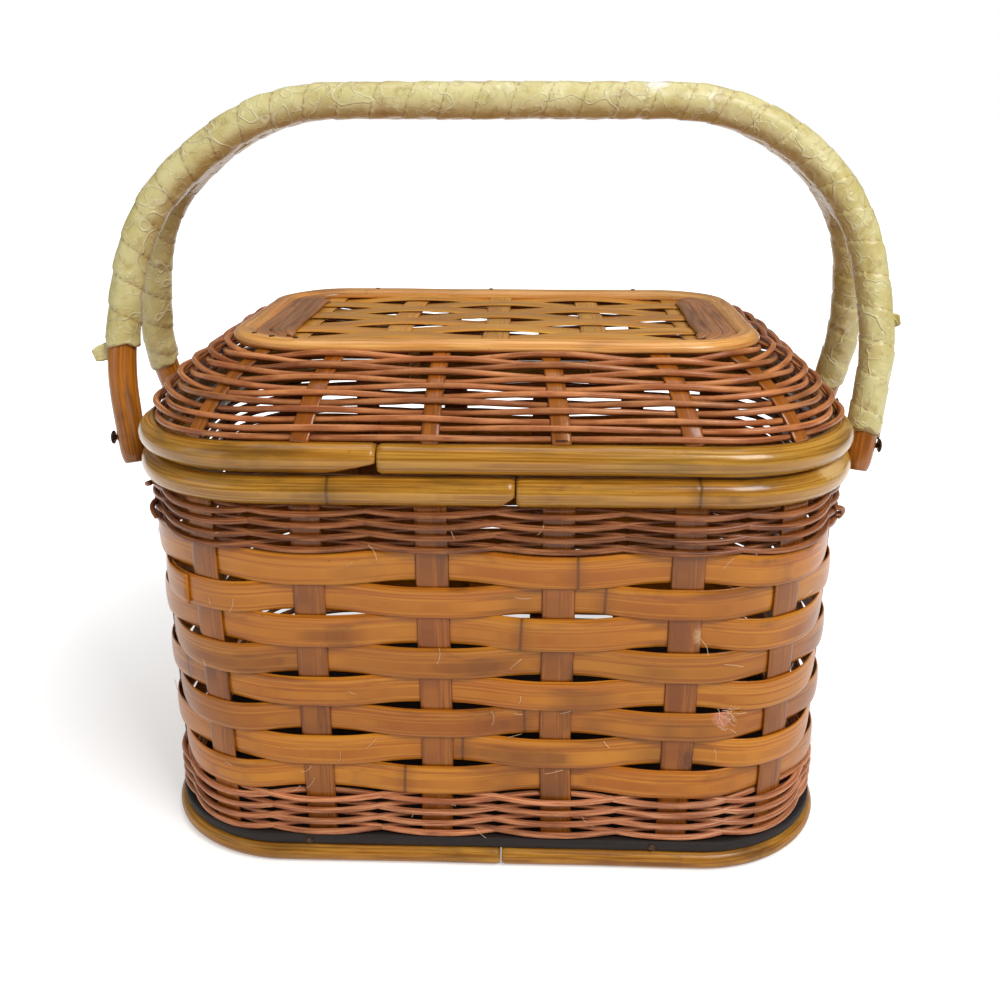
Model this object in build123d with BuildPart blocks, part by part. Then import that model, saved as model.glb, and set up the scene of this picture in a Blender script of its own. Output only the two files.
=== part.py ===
"""Rattan picnic basket: woven body and domed woven lid on cane rim poles, with a taped double handle.

Millimetres, +Z up, front towards -Y. The origin is on the floor, under the middle of the basket.
"""

import os
from math import cos, hypot, pi, radians, sin, tan

from build123d import *

# Plan of the basket: the centre line shared by both rim poles and the woven wall
HALF_WIDTH = 207.0
HALF_DEPTH = 147.0
CORNER = 77.0
# Flats that a bent pole gets on each corner, and round its section
BEND_FLATS = 5
POLE_SIDES = 10
HANDLE_SIDES = 8
NAIL_SIDES = 6

# Foot ring and base board, from the floor up
FOOT_POLE_RADIUS = 6.0
FOOT_OUTSET = 2.0
BOARD_THICKNESS = 7.0
BOARD_OUTSET = 5.0
BOARD_NAIL_RADIUS = 1.3
BOARD_NAIL_LENGTH = 9.0

# Rim poles
RIM_POLE_RADIUS = 8.5
LID_GAP = 0.6
SEAT_GAP = 0.2

# Body weave, from the board up
LOWER_REED_ROWS = 4
LOWER_REED_PITCH = 7.8
WEAVER_ROWS = 8
WEAVER_PITCH = 19.8
UPPER_REED_ROWS = 4
UPPER_REED_PITCH = 6.9
STAKE_WIDTH = 19.0
STAKE_THICKNESS = 2.4
WEAVER_THICKNESS = 3.4
REED_THICKNESS = 5.4
WEAVE_LAP = 0.2
INNER_SKIN = 0.6
STAKE_SHIFT = 4.0
FRONT_STAKES = (36.0, 108.0)
CORNER_STAKES = (170.0, 245.0)
LENS_HALF_LENGTH = 33.0
LENS_HALF_HEIGHT = 2.6
LENS_ROWS_A_STAKE = 2

# Lid dome
DOME_INSET = 54.0
DOME_RISE = 41.5
DOME_BULGE = 6.5
DOME_CORNER_LOSS = 35.0
LID_STAKE_WIDTH = 10.6
LID_STAKE_THICKNESS = 2.6
LID_ROW_HEIGHT = 4.2
LID_REED_THICKNESS = 4.4
LOWEST_LID_ROW = 0.12
LID_ROWS = 5
LID_ROW_STEP = 0.17

# Crown ring, its end splits and the woven top panel
CROWN_WIDTH = 15.0
CROWN_HEIGHT = 6.0
PANEL_STRIPS = 7
PANEL_SLATS = 5
SLAT_WIDTH = 15.0
SLAT_THICKNESS = 1.4
STRIP_THICKNESS = 1.2
STRIP_GAP = 1.8
SPLIT_LANES = 3
SPLIT_WIDTH = 7.6
SPLIT_HEIGHT = 3.6
SPLIT_REACH = 135.0
SPLIT_STEP = 10.0
SPLIT_SHARES = (-1.0, -0.75, -0.5, -0.25, 0.0, 0.25, 0.5, 0.75, 1.0)
CROWN_NAIL_RADIUS = 1.1
CROWN_NAIL_PLACES = (530.0, 652.0, 750.0, 1092.0, 1120.0, 1148.0)

# Handle: two bent poles bound together with tape
HANDLE_POLE_RADIUS = 9.0
HANDLE_TOP = 448.5
HANDLE_HALF_SPACING = 10.6
LEG_FOOT_Z = 230.0
TAPE_THICKNESS = 2.0
TAPE_CLEARANCE = 0.25
HANDLE_NAIL_RADIUS = 1.8
HANDLE_NAIL_HEAD_RADIUS = 4.6
HANDLE_NAIL_HEAD_THICKNESS = 2.4
HANDLE_NAIL_BITE = 11.0
NAIL_CLEARANCE = 0.1
HANDLE_NAIL_SEAT = 2.0

# Hinge loops at the back, bound tight on the body pole and loose on the lid pole
LOOP_X = 72.0
LOOP_BAND_WIDTH = 9.0
LOOP_BAND_THICKNESS = 1.6
LOOP_CLEARANCE = 0.4
LOOP_ROOM = 0.5

# Heights and radii that follow
BOARD_BOTTOM = 2 * FOOT_POLE_RADIUS
BOARD_TOP = BOARD_BOTTOM + BOARD_THICKNESS
WEAVER_BOTTOM = BOARD_TOP + LOWER_REED_ROWS * LOWER_REED_PITCH
WEAVER_TOP = WEAVER_BOTTOM + WEAVER_ROWS * WEAVER_PITCH
WALL_TOP = WEAVER_TOP + UPPER_REED_ROWS * UPPER_REED_PITCH
BODY_RIM_Z = WALL_TOP + SEAT_GAP + RIM_POLE_RADIUS
LID_RIM_Z = BODY_RIM_Z + 2 * RIM_POLE_RADIUS + LID_GAP
DOME_BOTTOM = LID_RIM_Z + RIM_POLE_RADIUS + SEAT_GAP
DOME_TOP = DOME_BOTTOM + DOME_RISE
CROWN_BOTTOM = DOME_TOP + SEAT_GAP
POLE_CORNER_RADIUS = RIM_POLE_RADIUS / cos(pi / POLE_SIDES)
LOOP_INNER_RADIUS = POLE_CORNER_RADIUS + LOOP_CLEARANCE
LOOP_OUTER_RADIUS = (LOOP_INNER_RADIUS + LOOP_BAND_THICKNESS) / cos(pi / POLE_SIDES)
LOOP_MIDDLE_Z = (BODY_RIM_Z + LID_RIM_Z) / 2
LOOP_CENTRES = LID_RIM_Z - BODY_RIM_Z

RIM_PLAN = (HALF_WIDTH, HALF_DEPTH, CORNER)
CROWN_PLAN = (HALF_WIDTH - DOME_INSET, HALF_DEPTH - DOME_INSET, CORNER - DOME_CORNER_LOSS)
FRONT_RUN = HALF_WIDTH - CORNER
SIDE_RUN = HALF_DEPTH - CORNER
BEND_RUN = CORNER * pi / 2
POLE_TURN = 90 - 180 / POLE_SIDES
HALF_ROUND = 2 * FRONT_RUN + 2 * SIDE_RUN + 2 * BEND_RUN

os.makedirs("parts", exist_ok=True)


def place(along):
    """Side fractions and facing angle of a place on the rim's centre line, from the middle of the front."""
    runs = (
        (FRONT_RUN, (0, -1), (1, -1), 270, 270),
        (BEND_RUN, (1, -1), (1, -1), 270, 360),
        (2 * SIDE_RUN, (1, -1), (1, 1), 0, 0),
        (BEND_RUN, (1, 1), (1, 1), 0, 90),
        (2 * FRONT_RUN, (1, 1), (-1, 1), 90, 90),
        (BEND_RUN, (-1, 1), (-1, 1), 90, 180),
        (2 * SIDE_RUN, (-1, 1), (-1, -1), 180, 180),
        (BEND_RUN, (-1, -1), (-1, -1), 180, 270),
        (FRONT_RUN, (-1, -1), (0, -1), 270, 270),
    )
    left = along % (2 * HALF_ROUND)
    for length, start, end, angle_from, angle_to in runs:
        if left <= length:
            break
        left -= length
    share = min(left / length, 1)
    across = start[0] + (end[0] - start[0]) * share
    deep = start[1] + (end[1] - start[1]) * share
    return across, deep, radians(angle_from + (angle_to - angle_from) * share)


def plan_point(plan, along, out=0.0, aside=0.0):
    """Point of a rounded rectangle at a place on the rim, moved outwards and along its edge."""
    half_width, half_depth, corner = plan
    across, deep, angle = place(along)
    x = across * (half_width - corner) + (corner + out) * cos(angle) - aside * sin(angle)
    y = deep * (half_depth - corner) + (corner + out) * sin(angle) + aside * cos(angle)
    return x, y


def dome_level(share):
    """Plan and height of the lid's dome, from its rim (0) to its crown (1)."""
    length = hypot(DOME_INSET, DOME_RISE)
    bulge = DOME_BULGE * 4 * share * (1 - share)
    inset = DOME_INSET * share - bulge * DOME_RISE / length
    height = DOME_BOTTOM + DOME_RISE * share + bulge * DOME_INSET / length
    corner = CORNER - DOME_CORNER_LOSS * inset / DOME_INSET
    return (HALF_WIDTH - inset, HALF_DEPTH - inset, corner), height


def stake_places():
    """Places of the stakes round the wall: four on each long side, two on each corner, one on each end."""
    quarter = (*FRONT_STAKES, *CORNER_STAKES)
    first = [*quarter, HALF_ROUND / 2, *(HALF_ROUND - value for value in reversed(quarter))]
    return [STAKE_SHIFT + half + value for half in (0, HALF_ROUND) for value in first]


STAKES = stake_places()


def woven_row(plan, swing, thickness, turn, stake_thickness):
    """Outer and inner outline of one row that passes in front of every other stake and behind the rest.

    Inside, the row is a plain skin over the stakes.
    """
    outer, inner = [], []
    skin = -stake_thickness / 2 - INNER_SKIN
    following = [*STAKES[1:], STAKES[0] + 2 * HALF_ROUND]
    for index, (here, after) in enumerate(zip(STAKES, following)):
        side = swing if (index + turn) % 2 else -swing
        for along, out in ((here, side), ((here + after) / 2, 0.0)):
            outer.append(plan_point(plan, along, out + thickness / 2))
            inner.append(plan_point(plan, along, skin))
    return outer, inner


def stake_outline(along):
    """The four corners of a body stake's section."""
    half_width = STAKE_WIDTH / 2
    half_thick = STAKE_THICKNESS / 2
    signs = ((-1, -1), (1, -1), (1, 1), (-1, 1))
    return [plan_point(RIM_PLAN, along, out * half_thick, aside * half_width) for aside, out in signs]


def half_ring_path(plan, z):
    """Points of the right half of a pole bent round a plan, with its corners in short flats."""
    half_width, half_depth, corner = plan
    points = [(0, -half_depth, z)]
    for deep, start in ((-1, 270), (1, 0)):
        for step in range(BEND_FLATS + 1):
            angle = radians(start + 90 * step / BEND_FLATS)
            x = half_width - corner + corner * cos(angle)
            y = deep * (half_depth - corner) + corner * sin(angle)
            points.append((x, y, z))
    return [*points, (0, half_depth, z)]


def bent_path(points, radii, step_degrees=20.0):
    """Points of a pole bent at each inner point, with each bend in short flats."""
    corners = [Vector(*point) for point in points]
    path = [corners[0]]
    for before, here, after, radius in zip(corners, corners[1:], corners[2:], radii):
        back = (before - here).normalized()
        ahead = (after - here).normalized()
        turn = 180 - back.get_angle(ahead)
        reach = radius * tan(radians(turn / 2))
        centre = here + (back + ahead).normalized() * (radius / cos(radians(turn / 2)))
        start = here + back * reach - centre
        end = here + ahead * reach - centre
        steps = max(2, round(turn / step_degrees))
        for step in range(steps + 1):
            share = step / steps
            first = sin(radians(turn * (1 - share))) / sin(radians(turn))
            second = sin(radians(turn * share)) / sin(radians(turn))
            path.append(centre + start * first + end * second)
    return [*path, corners[-1]]


def slot_outline(radius):
    """Outline of a band round both back rim poles, in depth and height, in short flats."""
    points = []
    for middle, start in ((LID_RIM_Z, 0), (BODY_RIM_Z, 180)):
        for step in range(POLE_SIDES // 2 + 1):
            angle = radians(start + 180 * step / (POLE_SIDES // 2))
            points.append((HALF_DEPTH + radius * cos(angle), middle + radius * sin(angle)))
    return points


# Foot ring under the board
FOOT_PLAN = (HALF_WIDTH + FOOT_OUTSET, HALF_DEPTH + FOOT_OUTSET, CORNER + FOOT_OUTSET)
with BuildPart() as foot_ring:
    with BuildLine() as foot_path:
        Polyline(*half_ring_path(FOOT_PLAN, FOOT_POLE_RADIUS))
    foot_start = Plane(origin=foot_path.line @ 0, x_dir=(0, 1, 0), z_dir=(1, 0, 0))
    with BuildSketch(foot_start):
        RegularPolygon(FOOT_POLE_RADIUS, POLE_SIDES, major_radius=False, rotation=POLE_TURN)
    sweep(path=foot_path.line, transition=Transition.RIGHT)
    mirror(about=Plane.YZ)
foot_ring.part.label = "foot_ring"
export_step(foot_ring.part, "parts/foot_ring.step")

# Base board, with holes for its nails
BOARD_HALF_DEPTH = HALF_DEPTH + BOARD_OUTSET
BOARD_HALF_WIDTH = HALF_WIDTH + BOARD_OUTSET
BOARD_NAIL_Z = BOARD_BOTTOM + BOARD_THICKNESS / 2
BOARD_NAIL_PLANES = [
    Plane(origin=(x, -side * BOARD_HALF_DEPTH, BOARD_NAIL_Z), x_dir=(side, 0, 0), z_dir=(0, -side, 0))
    for side in (1, -1)
    for x in (-side * (FRONT_STAKES[1] - 2 * STAKE_SHIFT), side * (FRONT_STAKES[1] + STAKE_SHIFT))
]
with BuildPart() as base_board:
    with BuildSketch(Plane.XY.offset(BOARD_BOTTOM)):
        RectangleRounded(2 * BOARD_HALF_WIDTH, 2 * BOARD_HALF_DEPTH, CORNER + BOARD_OUTSET)
    extrude(amount=BOARD_THICKNESS)
    for nail_plane in BOARD_NAIL_PLANES:
        with BuildSketch(nail_plane):
            RegularPolygon(BOARD_NAIL_RADIUS + NAIL_CLEARANCE, NAIL_SIDES)
        extrude(amount=-BOARD_NAIL_LENGTH, mode=Mode.SUBTRACT)
base_board.part.label = "base_board"
export_step(base_board.part, "parts/base_board.step")

with BuildPart() as board_nails:
    for nail_plane in BOARD_NAIL_PLANES:
        with BuildSketch(nail_plane):
            RegularPolygon(BOARD_NAIL_RADIUS, NAIL_SIDES)
        extrude(amount=-BOARD_NAIL_LENGTH + NAIL_CLEARANCE)
        with BuildSketch(nail_plane):
            RegularPolygon(2 * BOARD_NAIL_RADIUS, NAIL_SIDES)
        extrude(amount=BOARD_NAIL_RADIUS, taper=30)
board_nails.part.label = "board_nails"
export_step(board_nails.part, "parts/board_nails.step")

# Woven wall of the body: bands of twined reed below and above rows of flat weavers, all on the same stakes,
# with lens-shaped gaps beside the stakes
WEAVER_SWING = (WEAVER_THICKNESS - WEAVE_LAP) / 2
REED_SWING = (REED_THICKNESS - WEAVE_LAP) / 2
WALL_BANDS = (
    (BOARD_TOP, LOWER_REED_ROWS, LOWER_REED_PITCH, REED_SWING, REED_THICKNESS),
    (WEAVER_BOTTOM, WEAVER_ROWS, WEAVER_PITCH, WEAVER_SWING, WEAVER_THICKNESS),
    (WEAVER_TOP, UPPER_REED_ROWS, UPPER_REED_PITCH, REED_SWING, REED_THICKNESS),
)
WALL_ROWS = [
    (bottom + row * pitch, pitch, swing, thickness)
    for bottom, rows, pitch, swing, thickness in WALL_BANDS
    for row in range(rows)
]
LOOP_ROOM_PLANES = [Plane.YZ.offset(side * LOOP_X - LOOP_BAND_WIDTH / 2 - LOOP_ROOM) for side in (-1, 1)]
LOOP_ROOM_WIDTH = LOOP_BAND_WIDTH + 2 * LOOP_ROOM
with BuildPart() as body_wall:
    for turn, (row_bottom, row_height, row_swing, row_thickness) in enumerate(WALL_ROWS):
        row_outer, row_inner = woven_row(RIM_PLAN, row_swing, row_thickness, turn, STAKE_THICKNESS)
        with BuildSketch(Plane.XY.offset(row_bottom)):
            Polygon(*row_outer, align=None)
            Polygon(*row_inner, align=None, mode=Mode.SUBTRACT)
        extrude(amount=row_height)
    for index, along in enumerate(STAKES):
        x, y = plan_point(RIM_PLAN, along)
        facing = place(along)[2]
        across = (-sin(facing), cos(facing), 0)
        lens_plane = Plane(origin=(x, y, WEAVER_BOTTOM), x_dir=across, z_dir=(cos(facing), sin(facing), 0))
        with BuildSketch(lens_plane):
            for level in range(LENS_ROWS_A_STAKE):
                lens_y = WEAVER_PITCH * (1 + (index + 1) % 2 + 2 * level)
                Polygon(
                    (-LENS_HALF_LENGTH, lens_y),
                    (0, lens_y - LENS_HALF_HEIGHT),
                    (LENS_HALF_LENGTH, lens_y),
                    (0, lens_y + LENS_HALF_HEIGHT),
                    align=None,
                )
        extrude(amount=2 * WEAVER_THICKNESS, both=True, mode=Mode.SUBTRACT)
    with BuildSketch(Plane.XY.offset(BOARD_TOP)):
        for along in STAKES:
            Polygon(*stake_outline(along), align=None)
    extrude(amount=WALL_TOP - BOARD_TOP)
    for room_plane in LOOP_ROOM_PLANES:
        with BuildSketch(room_plane):
            Polygon(*slot_outline(LOOP_OUTER_RADIUS + LOOP_ROOM), align=None)
        extrude(amount=LOOP_ROOM_WIDTH, mode=Mode.SUBTRACT)
body_wall.part.label = "body_wall"
export_step(body_wall.part, "parts/body_wall.step")

# Handle poles: each side's bends are a little different, as the canes were bent by hand
LEG_Y = 55.0
LEG_NAIL_Z = BODY_RIM_Z
HANDLE_FORM = {
    -1: {"shoulder": 144.0, "elbow": (226.0, 18.0, 386.0), "knee": (242.0, 36.0, 288.0), "foot": 231.0},
    1: {"shoulder": 146.0, "elbow": (225.0, 12.0, 396.0), "knee": (238.0, 38.0, 305.0), "foot": 227.0},
}
HANDLE_BENDS = (130.0, 110.0, 120.0)
TAPE_CUTS = {-1: {-1: 75.0, 1: 24.0}, 1: {-1: 50.0, 1: 34.0}}
FORK_HALF_SPACING = 18.5


def leg_points(side, front):
    """The corners of half a handle pole, from the middle of the grip down to its cut foot."""
    bend = HANDLE_FORM[side]
    across, deep, high = bend["elbow"]
    knee_across, knee_deep, knee_high = bend["knee"]
    return [
        (0, front * HANDLE_HALF_SPACING, HANDLE_TOP),
        (side * bend["shoulder"], front * HANDLE_HALF_SPACING, HANDLE_TOP),
        (side * across, front * deep, high),
        (side * knee_across, front * knee_deep, knee_high),
        (side * bend["foot"], front * LEG_Y, LEG_FOOT_Z),
    ]


def leg_path(side, front, cut=0.0):
    """Path of half a handle pole from its shoulder to its foot, less a length cut off at the foot."""
    path = bent_path(leg_points(side, front), HANDLE_BENDS)[1:]
    while cut > (path[-1] - path[-2]).length:
        cut -= (path[-1] - path[-2]).length
        path.pop()
    path[-1] = path[-1] + (path[-2] - path[-1]).normalized() * cut
    return path


def handle_path(front):
    """Path of a whole handle pole, from its left foot to its right foot."""
    return [*reversed(leg_path(-1, front)), *leg_path(1, front)]


def across_path(path):
    """Plane square to a path at its start."""
    return Plane(origin=path[0], z_dir=path[1] - path[0], x_dir=(0, 1, 0))


def leg_at_nail(side):
    """How far out and how deep the middle of a leg is at the height of its nail."""
    knee_across, knee_deep, knee_high = HANDLE_FORM[side]["knee"]
    share = (knee_high - LEG_NAIL_Z) / (knee_high - LEG_FOOT_Z)
    across = knee_across + (HANDLE_FORM[side]["foot"] - knee_across) * share
    return across, knee_deep + (LEG_Y - knee_deep) * share


HANDLE_NAILS = [
    Plane(
        origin=(side * HALF_WIDTH, front * leg_at_nail(side)[1], LEG_NAIL_Z),
        x_dir=(0, side, 0),
        z_dir=(side, 0, 0),
    )
    for side in (-1, 1)
    for front in (-1, 1)
]
NAIL_SEAT = HANDLE_POLE_RADIUS + HANDLE_NAIL_SEAT
HANDLE_NAIL_OUT = {side: leg_at_nail(side)[0] + NAIL_SEAT - HALF_WIDTH for side in (-1, 1)}
NAIL_HOLE_LENGTH = HANDLE_NAIL_BITE + 4 * HANDLE_POLE_RADIUS

with BuildPart() as body_rim:
    with BuildLine() as body_rim_path:
        Polyline(*half_ring_path(RIM_PLAN, BODY_RIM_Z))
    rim_start = Plane(origin=body_rim_path.line @ 0, x_dir=(0, 1, 0), z_dir=(1, 0, 0))
    with BuildSketch(rim_start):
        RegularPolygon(RIM_POLE_RADIUS, POLE_SIDES, major_radius=False, rotation=POLE_TURN)
    sweep(path=body_rim_path.line, transition=Transition.RIGHT)
    mirror(about=Plane.YZ)
    for nail_plane in HANDLE_NAILS:
        with BuildSketch(nail_plane.offset(RIM_POLE_RADIUS - HANDLE_NAIL_BITE)):
            RegularPolygon(HANDLE_NAIL_RADIUS + NAIL_CLEARANCE, NAIL_SIDES)
        extrude(amount=NAIL_HOLE_LENGTH, mode=Mode.SUBTRACT)
body_rim.part.label = "body_rim"
export_step(body_rim.part, "parts/body_rim.step")

with BuildPart() as lid_rim:
    with BuildLine() as lid_rim_path:
        Polyline(*half_ring_path(RIM_PLAN, LID_RIM_Z))
    lid_rim_start = Plane(origin=lid_rim_path.line @ 0, x_dir=(0, 1, 0), z_dir=(1, 0, 0))
    with BuildSketch(lid_rim_start):
        RegularPolygon(RIM_POLE_RADIUS, POLE_SIDES, major_radius=False, rotation=POLE_TURN)
    sweep(path=lid_rim_path.line, transition=Transition.RIGHT)
    mirror(about=Plane.YZ)
lid_rim.part.label = "lid_rim"
export_step(lid_rim.part, "parts/lid_rim.step")

front_path = handle_path(-1)
with BuildPart() as front_handle_pole:
    with BuildLine() as front_line:
        Polyline(*front_path)
    with BuildSketch(across_path(front_path)):
        RegularPolygon(HANDLE_POLE_RADIUS, HANDLE_SIDES, major_radius=False)
    sweep(path=front_line.line, transition=Transition.RIGHT)
    for nail_plane in HANDLE_NAILS:
        with BuildSketch(nail_plane.offset(RIM_POLE_RADIUS - HANDLE_NAIL_BITE)):
            RegularPolygon(HANDLE_NAIL_RADIUS + NAIL_CLEARANCE, NAIL_SIDES)
        extrude(amount=NAIL_HOLE_LENGTH, mode=Mode.SUBTRACT)
front_handle_pole.part.label = "front_handle_pole"
export_step(front_handle_pole.part, "parts/front_handle_pole.step")

rear_path = handle_path(1)
with BuildPart() as rear_handle_pole:
    with BuildLine() as rear_line:
        Polyline(*rear_path)
    with BuildSketch(across_path(rear_path)):
        RegularPolygon(HANDLE_POLE_RADIUS, HANDLE_SIDES, major_radius=False)
    sweep(path=rear_line.line, transition=Transition.RIGHT)
    for nail_plane in HANDLE_NAILS:
        with BuildSketch(nail_plane.offset(RIM_POLE_RADIUS - HANDLE_NAIL_BITE)):
            RegularPolygon(HANDLE_NAIL_RADIUS + NAIL_CLEARANCE, NAIL_SIDES)
        extrude(amount=NAIL_HOLE_LENGTH, mode=Mode.SUBTRACT)
rear_handle_pole.part.label = "rear_handle_pole"
export_step(rear_handle_pole.part, "parts/rear_handle_pole.step")

# Tape: one skin round both poles at the grip, forking into a sleeve on each leg
TAPE_RADIUS = HANDLE_POLE_RADIUS + TAPE_THICKNESS
TAPE_HALF_FLAT = TAPE_RADIUS * tan(pi / HANDLE_SIDES)
GRIP_QUARTER = (
    (HANDLE_HALF_SPACING + TAPE_RADIUS, TAPE_HALF_FLAT),
    (HANDLE_HALF_SPACING + TAPE_HALF_FLAT, TAPE_RADIUS),
)
GRIP_PROFILE = [
    (across * out, up * high)
    for across, up in ((1, 1), (-1, 1), (-1, -1), (1, -1))
    for out, high in (GRIP_QUARTER if across * up > 0 else reversed(GRIP_QUARTER))
]
with BuildPart() as handle_tape:
    grip_path = [Vector(point.X, 0, point.Z) for point in handle_path(-1) if abs(point.Y) < FORK_HALF_SPACING]
    with BuildLine() as grip_line:
        Polyline(*grip_path)
    with BuildSketch(across_path(grip_path)):
        Polygon(*GRIP_PROFILE, align=None)
    sweep(path=grip_line.line, transition=Transition.RIGHT)
    for front in (-1, 1):
        for side in (-1, 1):
            sleeve_path = leg_path(side, front, TAPE_CUTS[front][side])
            with BuildLine() as sleeve_line:
                Polyline(*sleeve_path)
            with BuildSketch(across_path(sleeve_path)):
                RegularPolygon(TAPE_RADIUS, HANDLE_SIDES, major_radius=False)
            sweep(path=sleeve_line.line, transition=Transition.RIGHT)
    for front in (-1, 1):
        core_path = handle_path(front)
        with BuildLine() as core_line:
            Polyline(*core_path)
        with BuildSketch(across_path(core_path)):
            RegularPolygon(HANDLE_POLE_RADIUS + TAPE_CLEARANCE, HANDLE_SIDES, major_radius=False)
        sweep(path=core_line.line, transition=Transition.RIGHT, mode=Mode.SUBTRACT)
handle_tape.part.label = "handle_tape"
export_step(handle_tape.part, "parts/handle_tape.step")

with BuildPart() as handle_nails:
    for nail_plane in HANDLE_NAILS:
        nail_out = HANDLE_NAIL_OUT[1 if nail_plane.z_dir.X > 0 else -1]
        with BuildSketch(nail_plane.offset(RIM_POLE_RADIUS - HANDLE_NAIL_BITE + NAIL_CLEARANCE)):
            RegularPolygon(HANDLE_NAIL_RADIUS, NAIL_SIDES)
        extrude(amount=nail_out + HANDLE_NAIL_BITE - RIM_POLE_RADIUS)
        with BuildSketch(nail_plane.offset(nail_out)):
            RegularPolygon(HANDLE_NAIL_HEAD_RADIUS, HANDLE_SIDES)
        extrude(amount=HANDLE_NAIL_HEAD_THICKNESS, taper=35)
handle_nails.part.label = "handle_nails"
export_step(handle_nails.part, "parts/handle_nails.step")

# Hinge loops: their upper arcs are centred on the lid pole, which is the hinge's axis
with BuildPart() as hinge_loops:
    for side in (-1, 1):
        with BuildSketch(Plane.YZ.offset(side * LOOP_X - LOOP_BAND_WIDTH / 2)):
            Polygon(*slot_outline(LOOP_OUTER_RADIUS), align=None)
            with Locations((HALF_DEPTH, LOOP_MIDDLE_Z)):
                SlotCenterToCenter(LOOP_CENTRES, 2 * LOOP_INNER_RADIUS, rotation=90, mode=Mode.SUBTRACT)
        extrude(amount=LOOP_BAND_WIDTH)
hinge_loops.part.label = "hinge_loops"
export_step(hinge_loops.part, "parts/hinge_loops.step")

# Lid wall: rows of twined reed on stakes that lean in to the crown
LID_SWING = (LID_REED_THICKNESS - WEAVE_LAP) / 2
with BuildPart() as lid_wall:
    for row in range(LID_ROWS):
        row_plan, row_z = dome_level(LOWEST_LID_ROW + LID_ROW_STEP * row)
        row_outer, row_inner = woven_row(row_plan, LID_SWING, LID_REED_THICKNESS, row, LID_REED_THICKNESS)
        with BuildSketch(Plane.XY.offset(row_z - LID_ROW_HEIGHT / 2)):
            Polygon(*row_outer, align=None)
            Polygon(*row_inner, align=None, mode=Mode.SUBTRACT)
        extrude(amount=LID_ROW_HEIGHT)
    for along in STAKES:
        foot = Vector(*plan_point(RIM_PLAN, along), 0)
        head = Vector(*plan_point(CROWN_PLAN, along), 0)
        inward = (head - foot).normalized()
        reach = (head - foot).length
        profile = []
        for share in (0.0, 0.5, 1.0):
            level_plan, level_z = dome_level(share)
            inset = (HALF_WIDTH - level_plan[0]) / DOME_INSET * reach
            profile.append((inset, level_z))
        rising = [(inset, z + LID_STAKE_THICKNESS) for inset, z in profile[:-1]]
        with BuildSketch(Plane(origin=foot, x_dir=inward, z_dir=inward.cross(Vector(0, 0, 1)))):
            Polygon(*profile, *reversed(rising), align=None)
        extrude(amount=LID_STAKE_WIDTH / 2, both=True)
    for room_plane in LOOP_ROOM_PLANES:
        with BuildSketch(room_plane):
            Polygon(*slot_outline(LOOP_OUTER_RADIUS + LOOP_ROOM), align=None)
        extrude(amount=LOOP_ROOM_WIDTH, mode=Mode.SUBTRACT)
lid_wall.part.label = "lid_wall"
export_step(lid_wall.part, "parts/lid_wall.step")

# Crown ring: a half-round cane bent round the top edge of the dome
CROWN_TOP = CROWN_BOTTOM + CROWN_HEIGHT
CROWN_NAIL_ROOM = CROWN_NAIL_RADIUS + NAIL_CLEARANCE
CROWN_SAG = CROWN_PLAN[2] * (1 - cos(pi / 4 / BEND_FLATS))
CROWN_NAIL_SPOTS = [plan_point(CROWN_PLAN, along) for along in CROWN_NAIL_PLACES]
CROWN_SECTION = (
    (-CROWN_WIDTH / 2, 0),
    (CROWN_WIDTH / 2, 0),
    (CROWN_WIDTH / 2, CROWN_HEIGHT * 0.45),
    (CROWN_WIDTH * 0.28, CROWN_HEIGHT),
    (-CROWN_WIDTH * 0.28, CROWN_HEIGHT),
    (-CROWN_WIDTH / 2, CROWN_HEIGHT * 0.45),
)
with BuildPart() as crown_ring:
    with BuildLine() as crown_path:
        Polyline(*half_ring_path(CROWN_PLAN, CROWN_BOTTOM))
    crown_start = Plane(origin=crown_path.line @ 0, x_dir=(0, 1, 0), z_dir=(1, 0, 0))
    with BuildSketch(crown_start):
        Polygon(*CROWN_SECTION, align=None)
    sweep(path=crown_path.line, transition=Transition.RIGHT)
    mirror(about=Plane.YZ)
    with BuildSketch(Plane.XY.offset(CROWN_TOP)):
        with Locations(*CROWN_NAIL_SPOTS):
            RegularPolygon(CROWN_NAIL_ROOM, NAIL_SIDES)
    extrude(amount=-CROWN_HEIGHT, mode=Mode.SUBTRACT)
crown_ring.part.label = "crown_ring"
export_step(crown_ring.part, "parts/crown_ring.step")

# Flattened cane splits that run side by side round each end, inside the crown
with BuildPart() as end_splits:
    for middle in (HALF_ROUND / 2, HALF_ROUND * 1.5):
        for lane in range(SPLIT_LANES):
            inset = CROWN_WIDTH / 2 + CROWN_SAG + SEAT_GAP + lane * (SPLIT_WIDTH + SEAT_GAP)
            reach = SPLIT_REACH - lane * SPLIT_STEP
            places = [middle + share * reach for share in SPLIT_SHARES]
            outline = [plan_point(CROWN_PLAN, along, -inset) for along in places]
            outline += [plan_point(CROWN_PLAN, along, -inset - SPLIT_WIDTH) for along in reversed(places)]
            with BuildSketch(Plane.XY.offset(DOME_TOP + SEAT_GAP)):
                Polygon(*outline, align=None)
            extrude(amount=SPLIT_HEIGHT)
end_splits.part.label = "end_splits"
export_step(end_splits.part, "parts/end_splits.step")

with BuildPart() as crown_nails:
    with BuildSketch(Plane.XY.offset(CROWN_BOTTOM)):
        with Locations(*CROWN_NAIL_SPOTS):
            RegularPolygon(CROWN_NAIL_RADIUS, NAIL_SIDES)
    extrude(amount=CROWN_HEIGHT)
    with BuildSketch(Plane.XY.offset(CROWN_TOP)):
        with Locations(*CROWN_NAIL_SPOTS):
            RegularPolygon(2 * CROWN_NAIL_RADIUS, NAIL_SIDES)
    extrude(amount=CROWN_NAIL_RADIUS)
crown_nails.part.label = "crown_nails"
export_step(crown_nails.part, "parts/crown_nails.step")

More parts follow.
